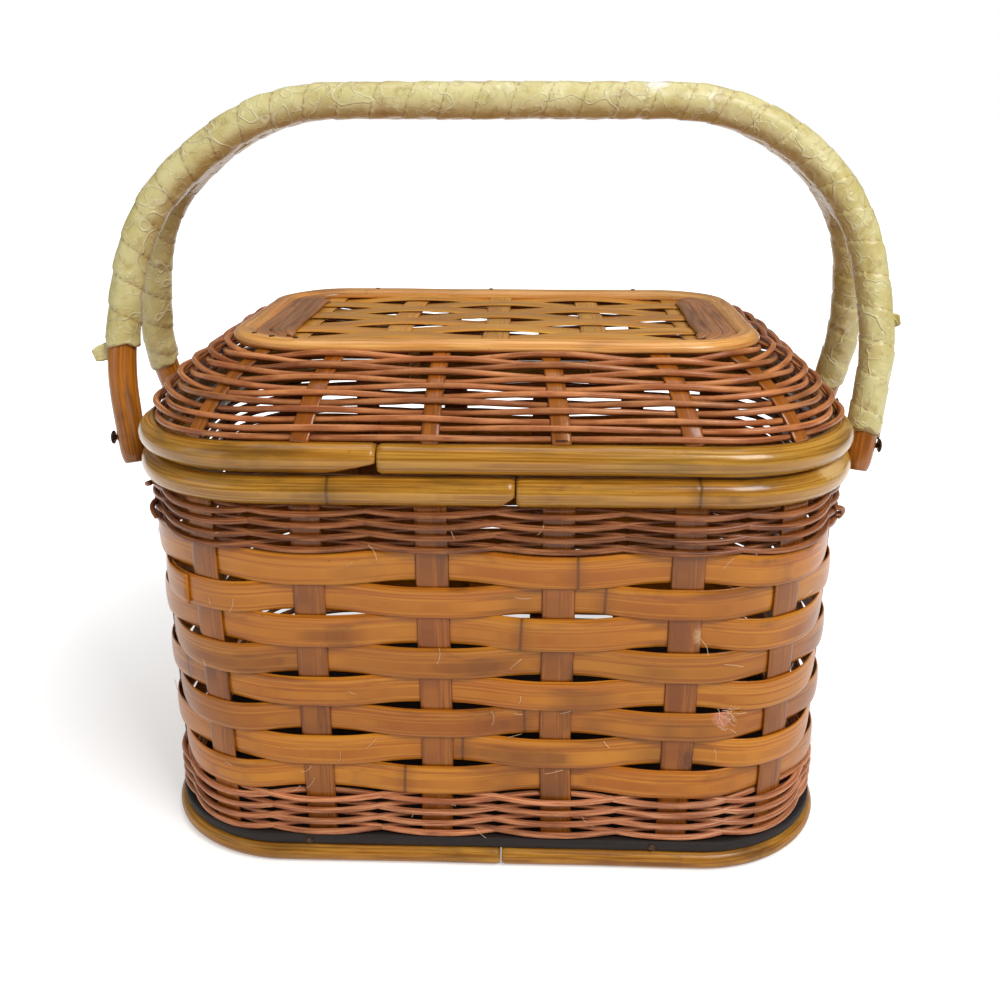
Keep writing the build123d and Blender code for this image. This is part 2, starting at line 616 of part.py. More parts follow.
# Woven top panel: strips along the basket, over and under the slats across it
PANEL_EDGE = DOME_INSET + SEAT_GAP * 2
PANEL_WIDTH = 2 * (HALF_WIDTH - PANEL_EDGE)
PANEL_DEPTH = 2 * (HALF_DEPTH - PANEL_EDGE)
PANEL_CORNER = CROWN_PLAN[2] - SEAT_GAP * 2
PANEL_MIDDLE = DOME_TOP - SLAT_THICKNESS / 2 - STRIP_THICKNESS
STRIP_PITCH = PANEL_DEPTH / PANEL_STRIPS
SLAT_PITCH = PANEL_WIDTH / PANEL_SLATS
STRIP_SWING = (SLAT_THICKNESS + STRIP_THICKNESS - WEAVE_LAP) / 2
with BuildPart() as top_panel:
    for strip in range(PANEL_STRIPS):
        knots = [(-PANEL_WIDTH / 2, 0.0)]
        for slat in range(PANEL_SLATS):
            middle = (slat + 0.5 - PANEL_SLATS / 2) * SLAT_PITCH
            swing = STRIP_SWING if (strip + slat) % 2 else -STRIP_SWING
            knots += [(middle - SLAT_WIDTH / 2, swing), (middle + SLAT_WIDTH / 2, swing)]
        knots.append((PANEL_WIDTH / 2, 0.0))
        over = [(x, PANEL_MIDDLE + z + STRIP_THICKNESS / 2) for x, z in knots]
        under = [(x, PANEL_MIDDLE + z - STRIP_THICKNESS / 2) for x, z in reversed(knots)]
        strip_front = (strip - PANEL_STRIPS / 2) * STRIP_PITCH + STRIP_GAP / 2
        with BuildSketch(Plane.XZ.offset(-strip_front)):
            Polygon(*over, *under, align=None)
        extrude(amount=-(STRIP_PITCH - STRIP_GAP))
    with BuildSketch(Plane.XY.offset(PANEL_MIDDLE - SLAT_THICKNESS / 2)):
        with GridLocations(SLAT_PITCH, 0, PANEL_SLATS, 1):
            Rectangle(SLAT_WIDTH, PANEL_DEPTH)
    extrude(amount=SLAT_THICKNESS)
    with BuildSketch(Plane.XY.offset(PANEL_MIDDLE - CROWN_HEIGHT)):
        RectangleRounded(PANEL_WIDTH, PANEL_DEPTH, PANEL_CORNER)
    extrude(amount=2 * CROWN_HEIGHT, mode=Mode.INTERSECT)
top_panel.part.label = "top_panel"
export_step(top_panel.part, "parts/top_panel.step")
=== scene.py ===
"""Looks of the rattan picnic basket: woven bamboo and reed, varnished canes and a taped double handle.

Everything is in metres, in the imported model's own frame: front towards -Y, floor at z = 0.
"""

from __future__ import annotations

import logging
import math
from collections.abc import Callable
from dataclasses import dataclass, field
from enum import Enum
from functools import cache
from typing import Any

import bmesh
import bpy
import numpy as np
from mathutils import Euler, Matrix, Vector

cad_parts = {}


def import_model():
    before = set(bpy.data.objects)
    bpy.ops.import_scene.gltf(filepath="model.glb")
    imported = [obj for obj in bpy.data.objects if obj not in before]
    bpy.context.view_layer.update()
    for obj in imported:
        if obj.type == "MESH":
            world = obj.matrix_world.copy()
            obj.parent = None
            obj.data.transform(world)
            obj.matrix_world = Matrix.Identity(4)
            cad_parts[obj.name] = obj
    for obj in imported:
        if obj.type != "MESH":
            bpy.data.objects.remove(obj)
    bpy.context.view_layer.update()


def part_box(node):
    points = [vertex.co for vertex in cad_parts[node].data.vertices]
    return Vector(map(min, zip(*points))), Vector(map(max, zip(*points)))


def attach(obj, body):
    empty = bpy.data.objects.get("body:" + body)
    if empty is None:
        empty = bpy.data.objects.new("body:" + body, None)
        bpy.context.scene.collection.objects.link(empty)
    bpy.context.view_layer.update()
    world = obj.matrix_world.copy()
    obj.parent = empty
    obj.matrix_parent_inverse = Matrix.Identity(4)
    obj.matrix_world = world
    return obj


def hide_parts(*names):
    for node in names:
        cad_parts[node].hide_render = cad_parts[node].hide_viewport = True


LOG = logging.getLogger("basket")
MM = 0.001
SEED = 4417
FIBRE = "fibre"

Array = np.ndarray
Color = tuple[float, float, float]
Place = tuple[float, float, float]


def srgb(red: float, green: float, blue: float) -> Color:
    """Linear colour of an sRGB colour written in 0 to 255."""
    return tuple(((value / 255 + 0.055) / 1.055) ** 2.4 for value in (red, green, blue))


def math_method(operation: str, flip: bool = False) -> Callable[..., Socket]:
    """A method of Socket that is one Math node.

    Args:
        operation: The node's operation.
        flip: Whether the other value comes first, as in a reflected operator.

    Returns:
        The method.
    """

    def method(self: Socket, other: Any = None) -> Socket:
        """This value, and the other if there is one, through the node."""
        pair = (other, self) if flip else (self, other)
        values = {index: value for index, value in enumerate(pair) if value is not None}
        return self.graph.node("ShaderNodeMath", {"operation": operation}, values)

    return method


class Socket:
    """A node's output with the arithmetic of plain numbers."""

    __add__, __radd__ = math_method("ADD"), math_method("ADD", flip=True)
    __sub__, __rsub__ = math_method("SUBTRACT"), math_method("SUBTRACT", flip=True)
    __mul__, __rmul__ = math_method("MULTIPLY"), math_method("MULTIPLY", flip=True)
    __truediv__, __rtruediv__ = math_method("DIVIDE"), math_method("DIVIDE", flip=True)
    __abs__ = math_method("ABSOLUTE")
    high = math_method("MAXIMUM")
    wrap = math_method("FRACT")

    def __init__(self, graph: Shader, link: Any) -> None:
        """Keep the graph and the output socket."""
        self.graph = graph
        self.link = link

    def ramp(self, start: float, end: float) -> Socket:
        """A smooth step of this value, 0 at start and 1 at end."""
        values = {"Value": self, "From Min": start, "From Max": end}
        return self.graph.node("ShaderNodeMapRange", {"interpolation_type": "SMOOTHSTEP"}, values, "Result")


class Shader:
    """A material and the tools that fill its node tree."""

    def __init__(self, name: str) -> None:
        """Make the material with one Principled shader."""
        self.material = bpy.data.materials.new(name)
        self.material.use_nodes = True
        self.tree = self.material.node_tree
        self.surface = self.tree.nodes["Principled BSDF"]

    def node(self, kind: str, settings: dict[str, Any], values: dict[Any, Any], output: Any = 0) -> Socket:
        """Any node: its settings first, then values or links for its sockets.

        Args:
            kind: The node's type.
            settings: Attributes of the node, set before its sockets.
            values: Socket name or number to a number, a tuple or a Socket.
            output: Name or number of the output that is returned.

        Returns:
            The chosen output.
        """
        node = self.tree.nodes.new(kind)
        for key, value in settings.items():
            setattr(node, key, value)
        for key, value in values.items():
            if isinstance(value, Socket):
                self.tree.links.new(value.link, node.inputs[key])
            else:
                node.inputs[key].default_value = value
        return Socket(self, node.outputs[output])

    def mix(self, factor: Any, first: Any, second: Any, blend: str = "MIX") -> Socket:
        """Mix two colours.

        Args:
            factor: Share of the second colour, a number or a Socket.
            first: A colour or a Socket.
            second: A colour or a Socket.
            blend: The way of mixing.

        Returns:
            The mixed colour.
        """
        ends = (value if isinstance(value, Socket) else (*value, 1.0) for value in (first, second))
        values = dict(zip((0, 6, 7), (factor, *ends)))
        return self.node("ShaderNodeMix", {"data_type": "RGBA", "blend_type": blend}, values, 2)

    def split(self, vector: Socket) -> tuple[Socket, ...]:
        """The three parts of a vector."""
        parts = self.tree.nodes.new("ShaderNodeSeparateXYZ")
        self.tree.links.new(vector.link, parts.inputs[0])
        return tuple(Socket(self, output) for output in parts.outputs)

    def fibre(self) -> tuple[Socket, ...]:
        """The strand's own coordinates: metres along it, metres round it, and its random tone."""
        return self.split(self.node("ShaderNodeAttribute", {"attribute_name": FIBRE}, {}, "Vector"))

    def place(self) -> Socket:
        """The point's place in the basket's own frame."""
        return self.node("ShaderNodeTexCoord", {}, {}, "Object")

    def point(self, x: Any, y: Any, z: Any) -> Socket:
        """A vector of three values."""
        return self.node("ShaderNodeCombineXYZ", {}, {0: x, 1: y, 2: z})

    def noise(self, place: Socket, scale: float, detail: float = 3.0, rough: float = 0.55) -> Socket:
        """Noise of 0 to 1 at a place."""
        values = {"Vector": place, "Scale": scale, "Detail": detail, "Roughness": rough}
        return self.node("ShaderNodeTexNoise", {}, values, "Fac")

    def spot(self, middle: Place, reach: Place) -> Socket:
        """One inside a ragged patch of the basket and nought outside it.

        Args:
            middle: Middle of the patch.
            reach: How far it goes along x, y and z.

        Returns:
            The patch's share.
        """
        place = self.place()
        offset = self.node("ShaderNodeVectorMath", {"operation": "SUBTRACT"}, {0: place, 1: middle})
        scaled = self.node("ShaderNodeVectorMath", {"operation": "DIVIDE"}, {0: offset, 1: reach})
        away = self.node("ShaderNodeVectorMath", {"operation": "LENGTH"}, {0: scaled}, "Value")
        return 1.0 - (away + self.noise(place, 320.0, 4.0, 0.7) * 0.9).ramp(1.0, 1.5)

    def bump(self, height: Socket, distance: float, strength: float = 1.0) -> None:
        """Feed a height to the surface's normal."""
        values = {"Height": height, "Distance": distance, "Strength": strength}
        self.feed("Normal", self.node("ShaderNodeBump", {}, values, "Normal"))

    def feed(self, name: str, value: Any) -> None:
        """Set or link a socket of the shader."""
        socket = self.surface.inputs[name]
        if isinstance(value, Socket):
            self.tree.links.new(value.link, socket)
        elif isinstance(value, tuple) and len(value) == 3:
            socket.default_value = (*value, 1.0)
        else:
            socket.default_value = value


@dataclass(frozen=True)
class CaneFinish:
    """A varnished cane, reed or bamboo strip, with fibres along it.

    Args:
        name: Name of the material.
        light: Colour of the pale fibres.
        body: Main colour.
        dark: Colour of stains and of dark fibres.
        streak: Fibres a metre round the strand.
        stretch: How much longer a streak is than wide.
        stain: Share of the strand that dark patches cover.
        knots: Metres between growth rings, or 0 for none.
        rough: Roughness under the varnish.
        coat: Weight of the varnish.
        scuff: Share of the strand with pale scratches.
        relief: Depth of the fibres, in metres.
        patches: Middle, reach and colour of each worn patch.
    """

    name: str
    light: Color
    body: Color
    dark: Color
    streak: float = 900.0
    stretch: float = 40.0
    stain: float = 0.3
    knots: float = 0.0
    rough: float = 0.38
    coat: float = 0.5
    scuff: float = 0.1
    relief: float = 0.00012
    patches: tuple[tuple[Place, Place, Color], ...] = ()

    def material(self) -> bpy.types.Material:
        """Build the finish's material."""
        shader = Shader(self.name)
        along, around, tone = shader.fibre()
        shift = tone * 37.0

        def grain(length: float, girth: float, seed: float, detail: float, rough: float = 0.55) -> Socket:
            """Noise with so many features a metre along the strand and round it."""
            place = shader.point(along * length, around * girth, shift + seed)
            return shader.noise(place, 1.0, detail, rough)

        fine = grain(self.streak / self.stretch, self.streak, 0.0, 4.0)
        broad = grain(14.0, 90.0, 5.0, 3.0)
        patch = grain(22.0, 60.0, 11.0, 5.0, 0.62)
        color = shader.mix(fine.ramp(0.36, 0.66), self.body, self.light)
        color = shader.mix(broad.ramp(0.50, 0.74) * 0.55, color, self.dark)
        stained = patch.ramp(0.66 - self.stain * 0.4, 0.86 - self.stain * 0.2)
        color = shader.mix(stained * 0.8, color, self.dark)
        shade = (tone - 0.5) * 0.34 + 1.0
        color = shader.mix(1.0, color, shader.point(shade, shade, shade), "MULTIPLY")
        warm = grain(6.0, 0.0, 3.0, 2.0)
        warmer = shader.mix(1.0, color, (1.0, 0.74, 0.55), "MULTIPLY")
        color = shader.mix(warm.ramp(0.42, 0.68) * 0.35, color, warmer)
        height = fine * 0.6 + broad * 0.4
        if self.knots:
            ring = (along / self.knots + tone * 3.7).wrap()
            near = 1.0 - abs(ring - 0.5).ramp(0.0, 0.0016 / self.knots)
            wide = 1.0 - abs(ring - 0.5).ramp(0.0, 0.009 / self.knots)
            color = shader.mix(near * 0.75, color, self.dark)
            color = shader.mix(wide * 0.3, color, self.dark)
            height = height + wide * 0.9 - near * 1.4
        speck = grain(420.0, 420.0, 0.0, 2.0)
        color = shader.mix(speck.ramp(0.73, 0.78) * 0.7, color, self.dark)
        scratch = grain(60.0, 700.0, 9.0, 6.0, 0.7)
        worn = scratch.ramp(0.70 - self.scuff * 0.3, 0.76 - self.scuff * 0.2)
        color = shader.mix(worn * 0.5, color, self.light)
        for middle, reach, tint in self.patches:
            color = shader.mix(shader.spot(middle, reach) * 0.85, color, tint)
        shader.feed("Base Color", color)
        shader.feed("Roughness", fine * 0.16 + worn * 0.22 + (self.rough - 0.08))
        shader.feed("Coat Weight", (1.0 - worn) * (self.coat * 0.6))
        shader.feed("Specular IOR Level", 0.25)
        shader.feed("Coat Roughness", 0.12)
        shader.feed("Coat IOR", 1.5)
        shader.bump(height, self.relief)
        return shader.material


@dataclass(frozen=True)
class TapeFinish:
    """Old cream masking tape: creased, lapped turn over turn, with brown blotches where the cane shows
    through; brown is also painted on its underside as painted shade and a painted reflection of the warm
    basket, and just before each lap's edge as painted shade, with a painted highlight on the edge itself.
    """

    name: str = "masking_tape"
    pale: Color = srgb(222, 211, 150)
    cream: Color = srgb(204, 188, 118)
    khaki: Color = srgb(172, 148, 80)
    # Brown of the blotches, also used for the painted shade on the underside and before each lap's edge
    brown: Color = srgb(146, 92, 38)
    ridge: Color = srgb(244, 238, 204)
    torn: Color = srgb(252, 250, 240)
    torn_place: Place = (96 * MM, -12 * MM, 455 * MM)
    torn_reach: Place = (11 * MM, 9 * MM, 6 * MM)

    def material(self) -> bpy.types.Material:
        """Build the tape's material."""
        shader = Shader(self.name)
        place = shader.place()
        turn = shader.fibre()[2]
        # Painted light on the laps: a painted highlight on each lap's raised edge and painted shade just
        # before it
        lap_edge_highlight = 1.0 - turn.ramp(0.0, 0.08)
        shadow = turn.ramp(0.90, 0.99)
        blotch = shader.noise(place, 34.0, 4.0, 0.6)
        cloud = shader.noise(place, 120.0, 3.0, 0.6)
        broad, narrow = (
            1.0 - abs(shader.noise(place, scale, 2.0, 0.5) - 0.5).ramp(0.0, width)
            for scale, width in ((36.0, 0.018), (84.0, 0.030))
        )
        crinkle = shader.noise(place, 520.0, 4.0, 0.6)
        crease = broad.high(narrow * 0.5)
        # Painted shade and a painted reflection of the warm basket: the more the tape faces down, the browner
        # it is painted
        normal = shader.node("ShaderNodeNewGeometry", {}, {}, "Normal")
        under = 1.0 - shader.split(normal)[2].ramp(-0.75, 0.25)
        color = shader.mix(blotch.ramp(0.34, 0.62), self.cream, self.pale)
        color = shader.mix(cloud.ramp(0.50, 0.72) * 0.6, color, self.khaki)
        # Painted shade and painted warm reflection on the underside, in brown
        color = shader.mix(under * 0.55, color, self.brown)
        color = shader.mix(blotch.ramp(0.60, 0.74) * 0.45, color, self.brown)
        # Painted shade before each lap's edge, then the painted highlight on the edge
        color = shader.mix(shadow * 0.7, color, self.brown)
        color = shader.mix(lap_edge_highlight * 0.45, color, self.pale)
        color = shader.mix(crease * 0.28, color, self.ridge)
        color = shader.mix(shader.spot(self.torn_place, self.torn_reach) * 0.9, color, self.torn)
        shader.feed("Base Color", color)
        shader.feed("Roughness", crinkle * 0.25 + 0.30)
        shader.feed("Coat Weight", crease * 0.25 + 0.12)
        shader.feed("Coat Roughness", 0.22)
        shader.bump(crease * 0.7 + cloud * 0.5 + crinkle * 0.12, 0.0009, 0.8)
        return shader.material


@dataclass(frozen=True)
class BoardFinish:
    """The dark stained base board, dull and dusty."""

    name: str = "base_board_stain"
    dark: Color = srgb(16, 10, 7)
    pale: Color = srgb(36, 24, 18)
    dusty: Color = srgb(80, 60, 54)
    stretch: Place = (30.0, 400.0, 400.0)

    def material(self) -> bpy.types.Material:
        """Build the board's material."""
        shader = Shader(self.name)
        place = shader.place()
        values = {0: place, 1: self.stretch}
        stretched = shader.node("ShaderNodeVectorMath", {"operation": "MULTIPLY"}, values)
        grain = shader.noise(stretched, 1.0, 5.0)
        dust = shader.noise(place, 900.0, 4.0, 0.7)
        color = shader.mix(grain.ramp(0.3, 0.7), self.dark, self.pale)
        shader.feed("Base Color", shader.mix(dust.ramp(0.52, 0.78) * 0.35, color, self.dusty))
        shader.feed("Roughness", dust * 0.3 + 0.55)
        shader.bump(grain * 0.5 + dust * 0.5, 0.0003)
        return shader.material


@dataclass(frozen=True)
class NailFinish:
    """Dark oxidised steel."""

    name: str = "dark_nail_steel"
    steel: Color = srgb(58, 52, 48)
    rusty: Color = srgb(120, 84, 56)

    def material(self) -> bpy.types.Material:
        """Build the nails' material."""
        shader = Shader(self.name)
        rust = shader.noise(shader.place(), 700.0, 5.0, 0.65)
        shader.feed("Base Color", shader.mix(rust.ramp(0.4, 0.7), self.steel, self.rusty))
        shader.feed("Metallic", 1.0 - rust.ramp(0.5, 0.75) * 0.6)
        shader.feed("Roughness", rust * 0.4 + 0.25)
        shader.bump(rust, 0.0002)
        return shader.material


class Finish(Enum):
    """Every finish of the basket."""

    WEAVER = CaneFinish(
        "honey_bamboo", srgb(202, 130, 34), srgb(172, 96, 12), srgb(92, 46, 6),
        streak=700.0, stretch=60.0, stain=0.26, knots=0.31, rough=0.34, coat=0.45, scuff=0.05,
        patches=(((138 * MM, -151 * MM, 106 * MM), (7 * MM, 8 * MM, 9 * MM), srgb(214, 138, 104)),),
    )
    STAKE = CaneFinish(
        "brown_stake", srgb(172, 102, 32), srgb(140, 76, 14), srgb(76, 38, 8),
        stain=0.36, rough=0.34, scuff=0.08,
        patches=(((124 * MM, -151 * MM, 158 * MM), (8 * MM, 8 * MM, 9 * MM), srgb(206, 160, 112)),),
    )
    REED = CaneFinish(
        "copper_reed", srgb(178, 114, 68), srgb(120, 64, 32), srgb(64, 32, 16),
        streak=1300.0, stretch=30.0, stain=0.34, rough=0.42, coat=0.32, scuff=0.2,
    )
    LOW_REED = CaneFinish(
        "salmon_reed", srgb(226, 156, 110), srgb(164, 96, 60), srgb(84, 42, 24),
        streak=1300.0, stretch=30.0, stain=0.28, rough=0.42, coat=0.32, scuff=0.22,
    )
    RIM = CaneFinish(
        "amber_rim_cane", srgb(200, 148, 54), srgb(160, 108, 28), srgb(80, 54, 14),
        streak=800.0, stretch=60.0, stain=0.26, knots=0.36, rough=0.28, coat=0.7, scuff=0.14,
        patches=(((192 * MM, -118 * MM, 252 * MM), (16 * MM, 20 * MM, 6 * MM), srgb(226, 188, 122)),),
    )
    FOOT = CaneFinish(
        "golden_foot_cane", srgb(198, 142, 48), srgb(154, 98, 22), srgb(84, 50, 14),
        stain=0.36, rough=0.42, coat=0.35, scuff=0.3,
    )
    HANDLE = CaneFinish(
        "brown_handle_cane", srgb(196, 122, 40), srgb(160, 92, 22), srgb(72, 36, 10),
        streak=800.0, stretch=50.0, stain=0.45, rough=0.3, coat=0.6, scuff=0.12,
    )
    CROWN = CaneFinish(
        "amber_crown_cane", srgb(242, 184, 108), srgb(212, 144, 68), srgb(132, 78, 32),
        stretch=50.0, stain=0.22, rough=0.32, coat=0.6, scuff=0.16,
    )
    SPLIT = CaneFinish(
        "grey_brown_split", srgb(186, 132, 88), srgb(152, 98, 58), srgb(98, 60, 34),
        stain=0.28, rough=0.42, coat=0.35, scuff=0.2,
    )
    PANEL = CaneFinish(
        "honey_panel", srgb(228, 166, 66), srgb(200, 132, 40), srgb(128, 76, 24),
        streak=700.0, stretch=60.0, stain=0.2, rough=0.32, coat=0.55,
    )
    LID_REED = CaneFinish(
        "tan_lid_reed", srgb(206, 136, 82), srgb(158, 90, 48), srgb(88, 44, 24),
        streak=1300.0, stretch=30.0, stain=0.28, rough=0.36, coat=0.42, scuff=0.16,
    )
    WISP = CaneFinish(
        "pale_fibre", srgb(244, 226, 196), srgb(226, 198, 156), srgb(180, 140, 98),
        stretch=20.0, stain=0.1, rough=0.5, coat=0.1,
    )
    TAPE = TapeFinish()
    BOARD = BoardFinish()
    NAIL = NailFinish()


@cache
def dress(finish: Finish) -> bpy.types.Material:
    """The material of a finish, built on its first use."""
    return finish.value.material()


@dataclass(frozen=True)
class Plan:
    """A rounded rectangle seen from above, the basket's plan at one level."""

    half_width: float
    half_depth: float
    corner: float

    def inset(self, amount: float, corner_loss: float = 0.0) -> Plan:
        """The plan a distance further in, with its corners that much tighter."""
        return Plan(self.half_width - amount, self.half_depth - amount, self.corner - corner_loss)


RIM_PLAN = Plan(207 * MM, 147 * MM, 77 * MM)
FRONT_RUN = RIM_PLAN.half_width - RIM_PLAN.corner
SIDE_RUN = RIM_PLAN.half_depth - RIM_PLAN.corner
BEND_RUN = RIM_PLAN.corner * math.pi / 2
HALF_ROUND = 2 * (FRONT_RUN + SIDE_RUN + BEND_RUN)
ROUND = 2 * HALF_ROUND
CROWN_PLAN = Plan(153 * MM, 93 * MM, 42 * MM)
RIM_RADIUS = 8.5 * MM
BODY_RIM_LEVEL = 244.9 * MM
LID_RIM_LEVEL = 262.5 * MM
STAKE_SHIFT = 4 * MM


def ring_points(plan: Plan, along: Array) -> tuple[Array, Array]:
    """Points and outward directions round a plan.

    Args:
        plan: The rounded rectangle.
        along: Places, in metres along the rim's centre line from the middle of the front.

    Returns:
        Points and directions, each a row of x, y and z with z at nought.
    """
    end_runs = (BEND_RUN, 2 * SIDE_RUN, BEND_RUN)
    knots = np.cumsum((0, FRONT_RUN, *end_runs, 2 * FRONT_RUN, *end_runs, FRONT_RUN))
    across = (0, 1, 1, 1, 1, -1, -1, -1, -1, 0)
    deep = (-1, -1, -1, 1, 1, 1, 1, -1, -1, -1)
    angle = np.radians((-90, -90, 0, 0, 90, 90, 180, 180, 270, 270))
    place = np.mod(along, ROUND)
    facing = np.interp(place, knots, angle)
    out = np.stack([np.cos(facing), np.sin(facing), np.zeros_like(facing)], 1)
    reach = (plan.half_width - plan.corner, plan.half_depth - plan.corner)
    x, y = (np.interp(place, knots, share) * size for share, size in zip((across, deep), reach))
    return np.stack([x, y, np.zeros_like(place)], 1) + out * plan.corner, out


def stake_places() -> Array:
    """Places of the eighteen stakes round the wall, as in the model."""
    quarter = np.array((36.0, 108.0, 170.0, 245.0)) * MM
    half = np.concatenate([quarter, [HALF_ROUND / 2], HALF_ROUND - quarter[::-1]])
    return STAKE_SHIFT + np.concatenate([half, HALF_ROUND + half])


STAKES = stake_places()


def wave(along: Array, turn: int, flat: float = 0.0) -> Array:
    """How far a woven strand is in front, from -1 behind a stake to 1 in front of it.

    Args:
        along: Places round the wall.
        turn: 0 or 1, which stakes the strand passes in front of.
        flat: Share of each half wave over which the strand lies against its stake.

    Returns:
        One value for each place.
    """
    ends = np.concatenate([[STAKES[-1] - ROUND], STAKES, [STAKES[0] + ROUND]])
    place = np.mod(along, ROUND)
    index = np.searchsorted(ends, place, side="right") - 1
    index = np.clip(index, 0, len(ends) - 2)
    share = (place - ends[index]) / (ends[index + 1] - ends[index])
    share = np.clip((share - flat) / (1 - 2 * flat), 0, 1)
    sign = np.where((index - 1 + turn) % 2 == 1, 1.0, -1.0)
    return sign * np.cos(math.pi * share)


def smooth(share: Array) -> Array:
    """A share of 0 to 1 that starts and ends gently."""
    return share * share * (3 - 2 * share)


def unit(vectors: Array) -> Array:
    """The vectors at a length of one."""
    return vectors / np.linalg.norm(vectors, axis=-1, keepdims=True)


def circle(sides: int) -> Array:
    """Even angles once round."""
    return np.arange(sides) * 2 * math.pi / sides


def fibre_rows(along: Array, around: Array, tone: Any) -> Array:
    """Fibre coordinates of a tube: metres along it, metres round it and its tone."""
    rows = np.zeros((len(along), len(around), 3))
    rows[:, :, 0], rows[:, :, 1], rows[:, :, 2] = along[:, None], around[None, :], tone
    return rows


def add_object(name: str, data: Any) -> bpy.types.Object:
    """A new object of this data, linked to the scene."""
    item = bpy.data.objects.new(name, data)
    bpy.context.scene.collection.objects.link(item)
    return item


@dataclass
class MeshParts:
    """Faces and fibre coordinates gathered for one object."""

    points: list[Array] = field(default_factory=list)
    faces: list[list[int]] = field(default_factory=list)
    fibres: list[Array] = field(default_factory=list)
    count: int = 0

    def skin(self, rings: Array, fibres: Array | None = None, closed: bool = False) -> None:
        """Add a tube of rings, with a cap on each end unless it is closed.

        Args:
            rings: Points by ring and by place round it.
            fibres: Fibre coordinates of the points, or none for nought.
            closed: Whether the last ring joins the first.
        """
        count, sides = rings.shape[:2]
        here = np.arange(self.count, self.count + count * sides).reshape(count, sides)
        ahead = np.roll(here, -1, 0)
        quads = np.stack([here, np.roll(here, -1, 1), np.roll(ahead, -1, 1), ahead], 2)
        self.faces += quads[: count if closed else count - 1].reshape(-1, 4).tolist()
        if not closed:
            self.faces += [here[0, ::-1].tolist(), here[-1].tolist()]
        self.points.append(rings.reshape(-1, 3))
        self.fibres.append(np.zeros((count * sides, 3)) if fibres is None else fibres.reshape(-1, 3))
        self.count += count * sides

    def piece(self, name: str, finish: Finish, body: str, slot: str, *nodes: str) -> None:
        """Make the object with its material, turn its faces out and fix it to its body.

        Args:
            name: Name of the object.
            finish: Its finish.
            body: The body that it moves with.
            slot: The record's material slot; not used.
            nodes: Model nodes that it stands for.
        """
        mesh = bpy.data.meshes.new(name)
        mesh.from_pydata(np.concatenate(self.points).tolist(), [], self.faces)
        mesh.validate()
        attribute = mesh.attributes.new(FIBRE, "FLOAT_VECTOR", "POINT")
        attribute.data.foreach_set("vector", np.concatenate(self.fibres).astype(np.float32).ravel())
        mesh.polygons.foreach_set("use_smooth", [True] * len(mesh.polygons))
        mesh.materials.append(dress(finish))
        mesh.update()
        item = add_object(name, mesh)
        shape = bmesh.new()
        shape.from_mesh(mesh)
        bmesh.ops.recalc_face_normals(shape, faces=shape.faces)
        shape.to_mesh(mesh)
        shape.free()
        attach(item, body)
        if nodes:
            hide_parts(*nodes)
        LOG.info("%s: %d faces on %s", name, len(mesh.polygons), body)


def round_section(radius: float, sides: int) -> Array:
    """Circle of a strand's section, as shares out and up."""
    angle = circle(sides)
    return np.stack([np.cos(angle), np.sin(angle)], 1) * radius


def flat_section(width: float, thick: float, sides: int, crown: float = 0.0, power: float = 2.6) -> Array:
    """Section of a flat split: out and up, with rounded edges and a convex face.

    Args:
        width: Width up the section.
        thick: Thickness out of the wall.
        sides: Points round it.
        crown: How far the middle stands out over the edges.
        power: Squareness of the corners, 2 for an ellipse.

    Returns:
        One row of out and up for each point.
    """
    angle = circle(sides)
    out = np.sign(np.cos(angle)) * np.abs(np.cos(angle)) ** (2 / power) * thick / 2
    up = np.sign(np.sin(angle)) * np.abs(np.sin(angle)) ** (2 / power) * width / 2
    return np.stack([out + crown * (1 - (2 * up / width) ** 2), up], 1)


def strand(
    parts: MeshParts,
    path: Array,
    out: Array,
    section: Array,
    tone: float,
    closed: bool = False,
    swell: Array | None = None,
    start: float = 0.0,
    upright: bool = False,
) -> None:
    """Sweep a section along a path and close its ends.

    Args:
        parts: Where the faces go.
        path: Points of the strand's middle.
        out: Direction of the section's first axis at each point.
        section: Rows of out and up.
        tone: Random tone of the strand, 0 to 1.
        closed: Whether the strand is a ring.
        swell: Size of the section at each point.
        start: Fibre place of the first point.
        upright: Whether the section's second axis points up, as on a ring.
    """
    count = len(path)
    ahead = np.roll(path, -1, 0) - np.roll(path, 1, 0) if closed else np.gradient(path, axis=0)
    ahead = unit(ahead)
    up = unit(np.cross(ahead, out))
    up = np.where((up[:, 2:] < -0.2), -up, up) if closed or upright else up
    side = np.cross(up, ahead)
    side = np.where((np.sum(side * out, 1, keepdims=True) < 0), -side, side)
    size = (np.ones(count) if swell is None else swell)[:, None, None]
    rings = path[:, None, :] + side[:, None, :] * (section[None, :, :1] * size)
    rings = rings + up[:, None, :] * (section[None, :, 1:] * size)
    length = np.concatenate([[0], np.cumsum(np.linalg.norm(np.diff(path, axis=0), axis=1))]) + start
    girth = np.concatenate([[0], np.cumsum(np.linalg.norm(np.diff(section, axis=0), axis=1))])
    half = girth[-1] / 2
    parts.skin(rings, fibre_rows(length, half - np.abs(girth - half), tone), closed)


def along_steps(count: int) -> Array:
    """Even places once round, from the middle of the back."""
    return np.linspace(HALF_ROUND, HALF_ROUND + ROUND, count, endpoint=False)


@dataclass
class Maker:
    """A sub-assembly that draws from the basket's one source of random values."""

    random: np.random.Generator

    def pick(self, low: float, high: float) -> float:
        """One random value between two."""
        return float(self.random.uniform(low, high))

    def drift(self, count: int, knots: int, size: float = 1.0, closed: bool = False) -> Array:
        """A smooth random line of about -size to size.

        Args:
            count: How many values.
            knots: How many random values it passes through.
            size: The furthest that it goes.
            closed: Whether the end meets the start.

        Returns:
            The values.
        """
        values = self.random.uniform(-1, 1, knots + 1)
        if closed:
            values[-1] = values[0]
        place = np.linspace(0, knots, count, endpoint=not closed)
        low = np.clip(np.floor(place).astype(int), 0, knots - 1)
        share = smooth(place - low)
        return (values[low] * (1 - share) + values[low + 1] * share) * size


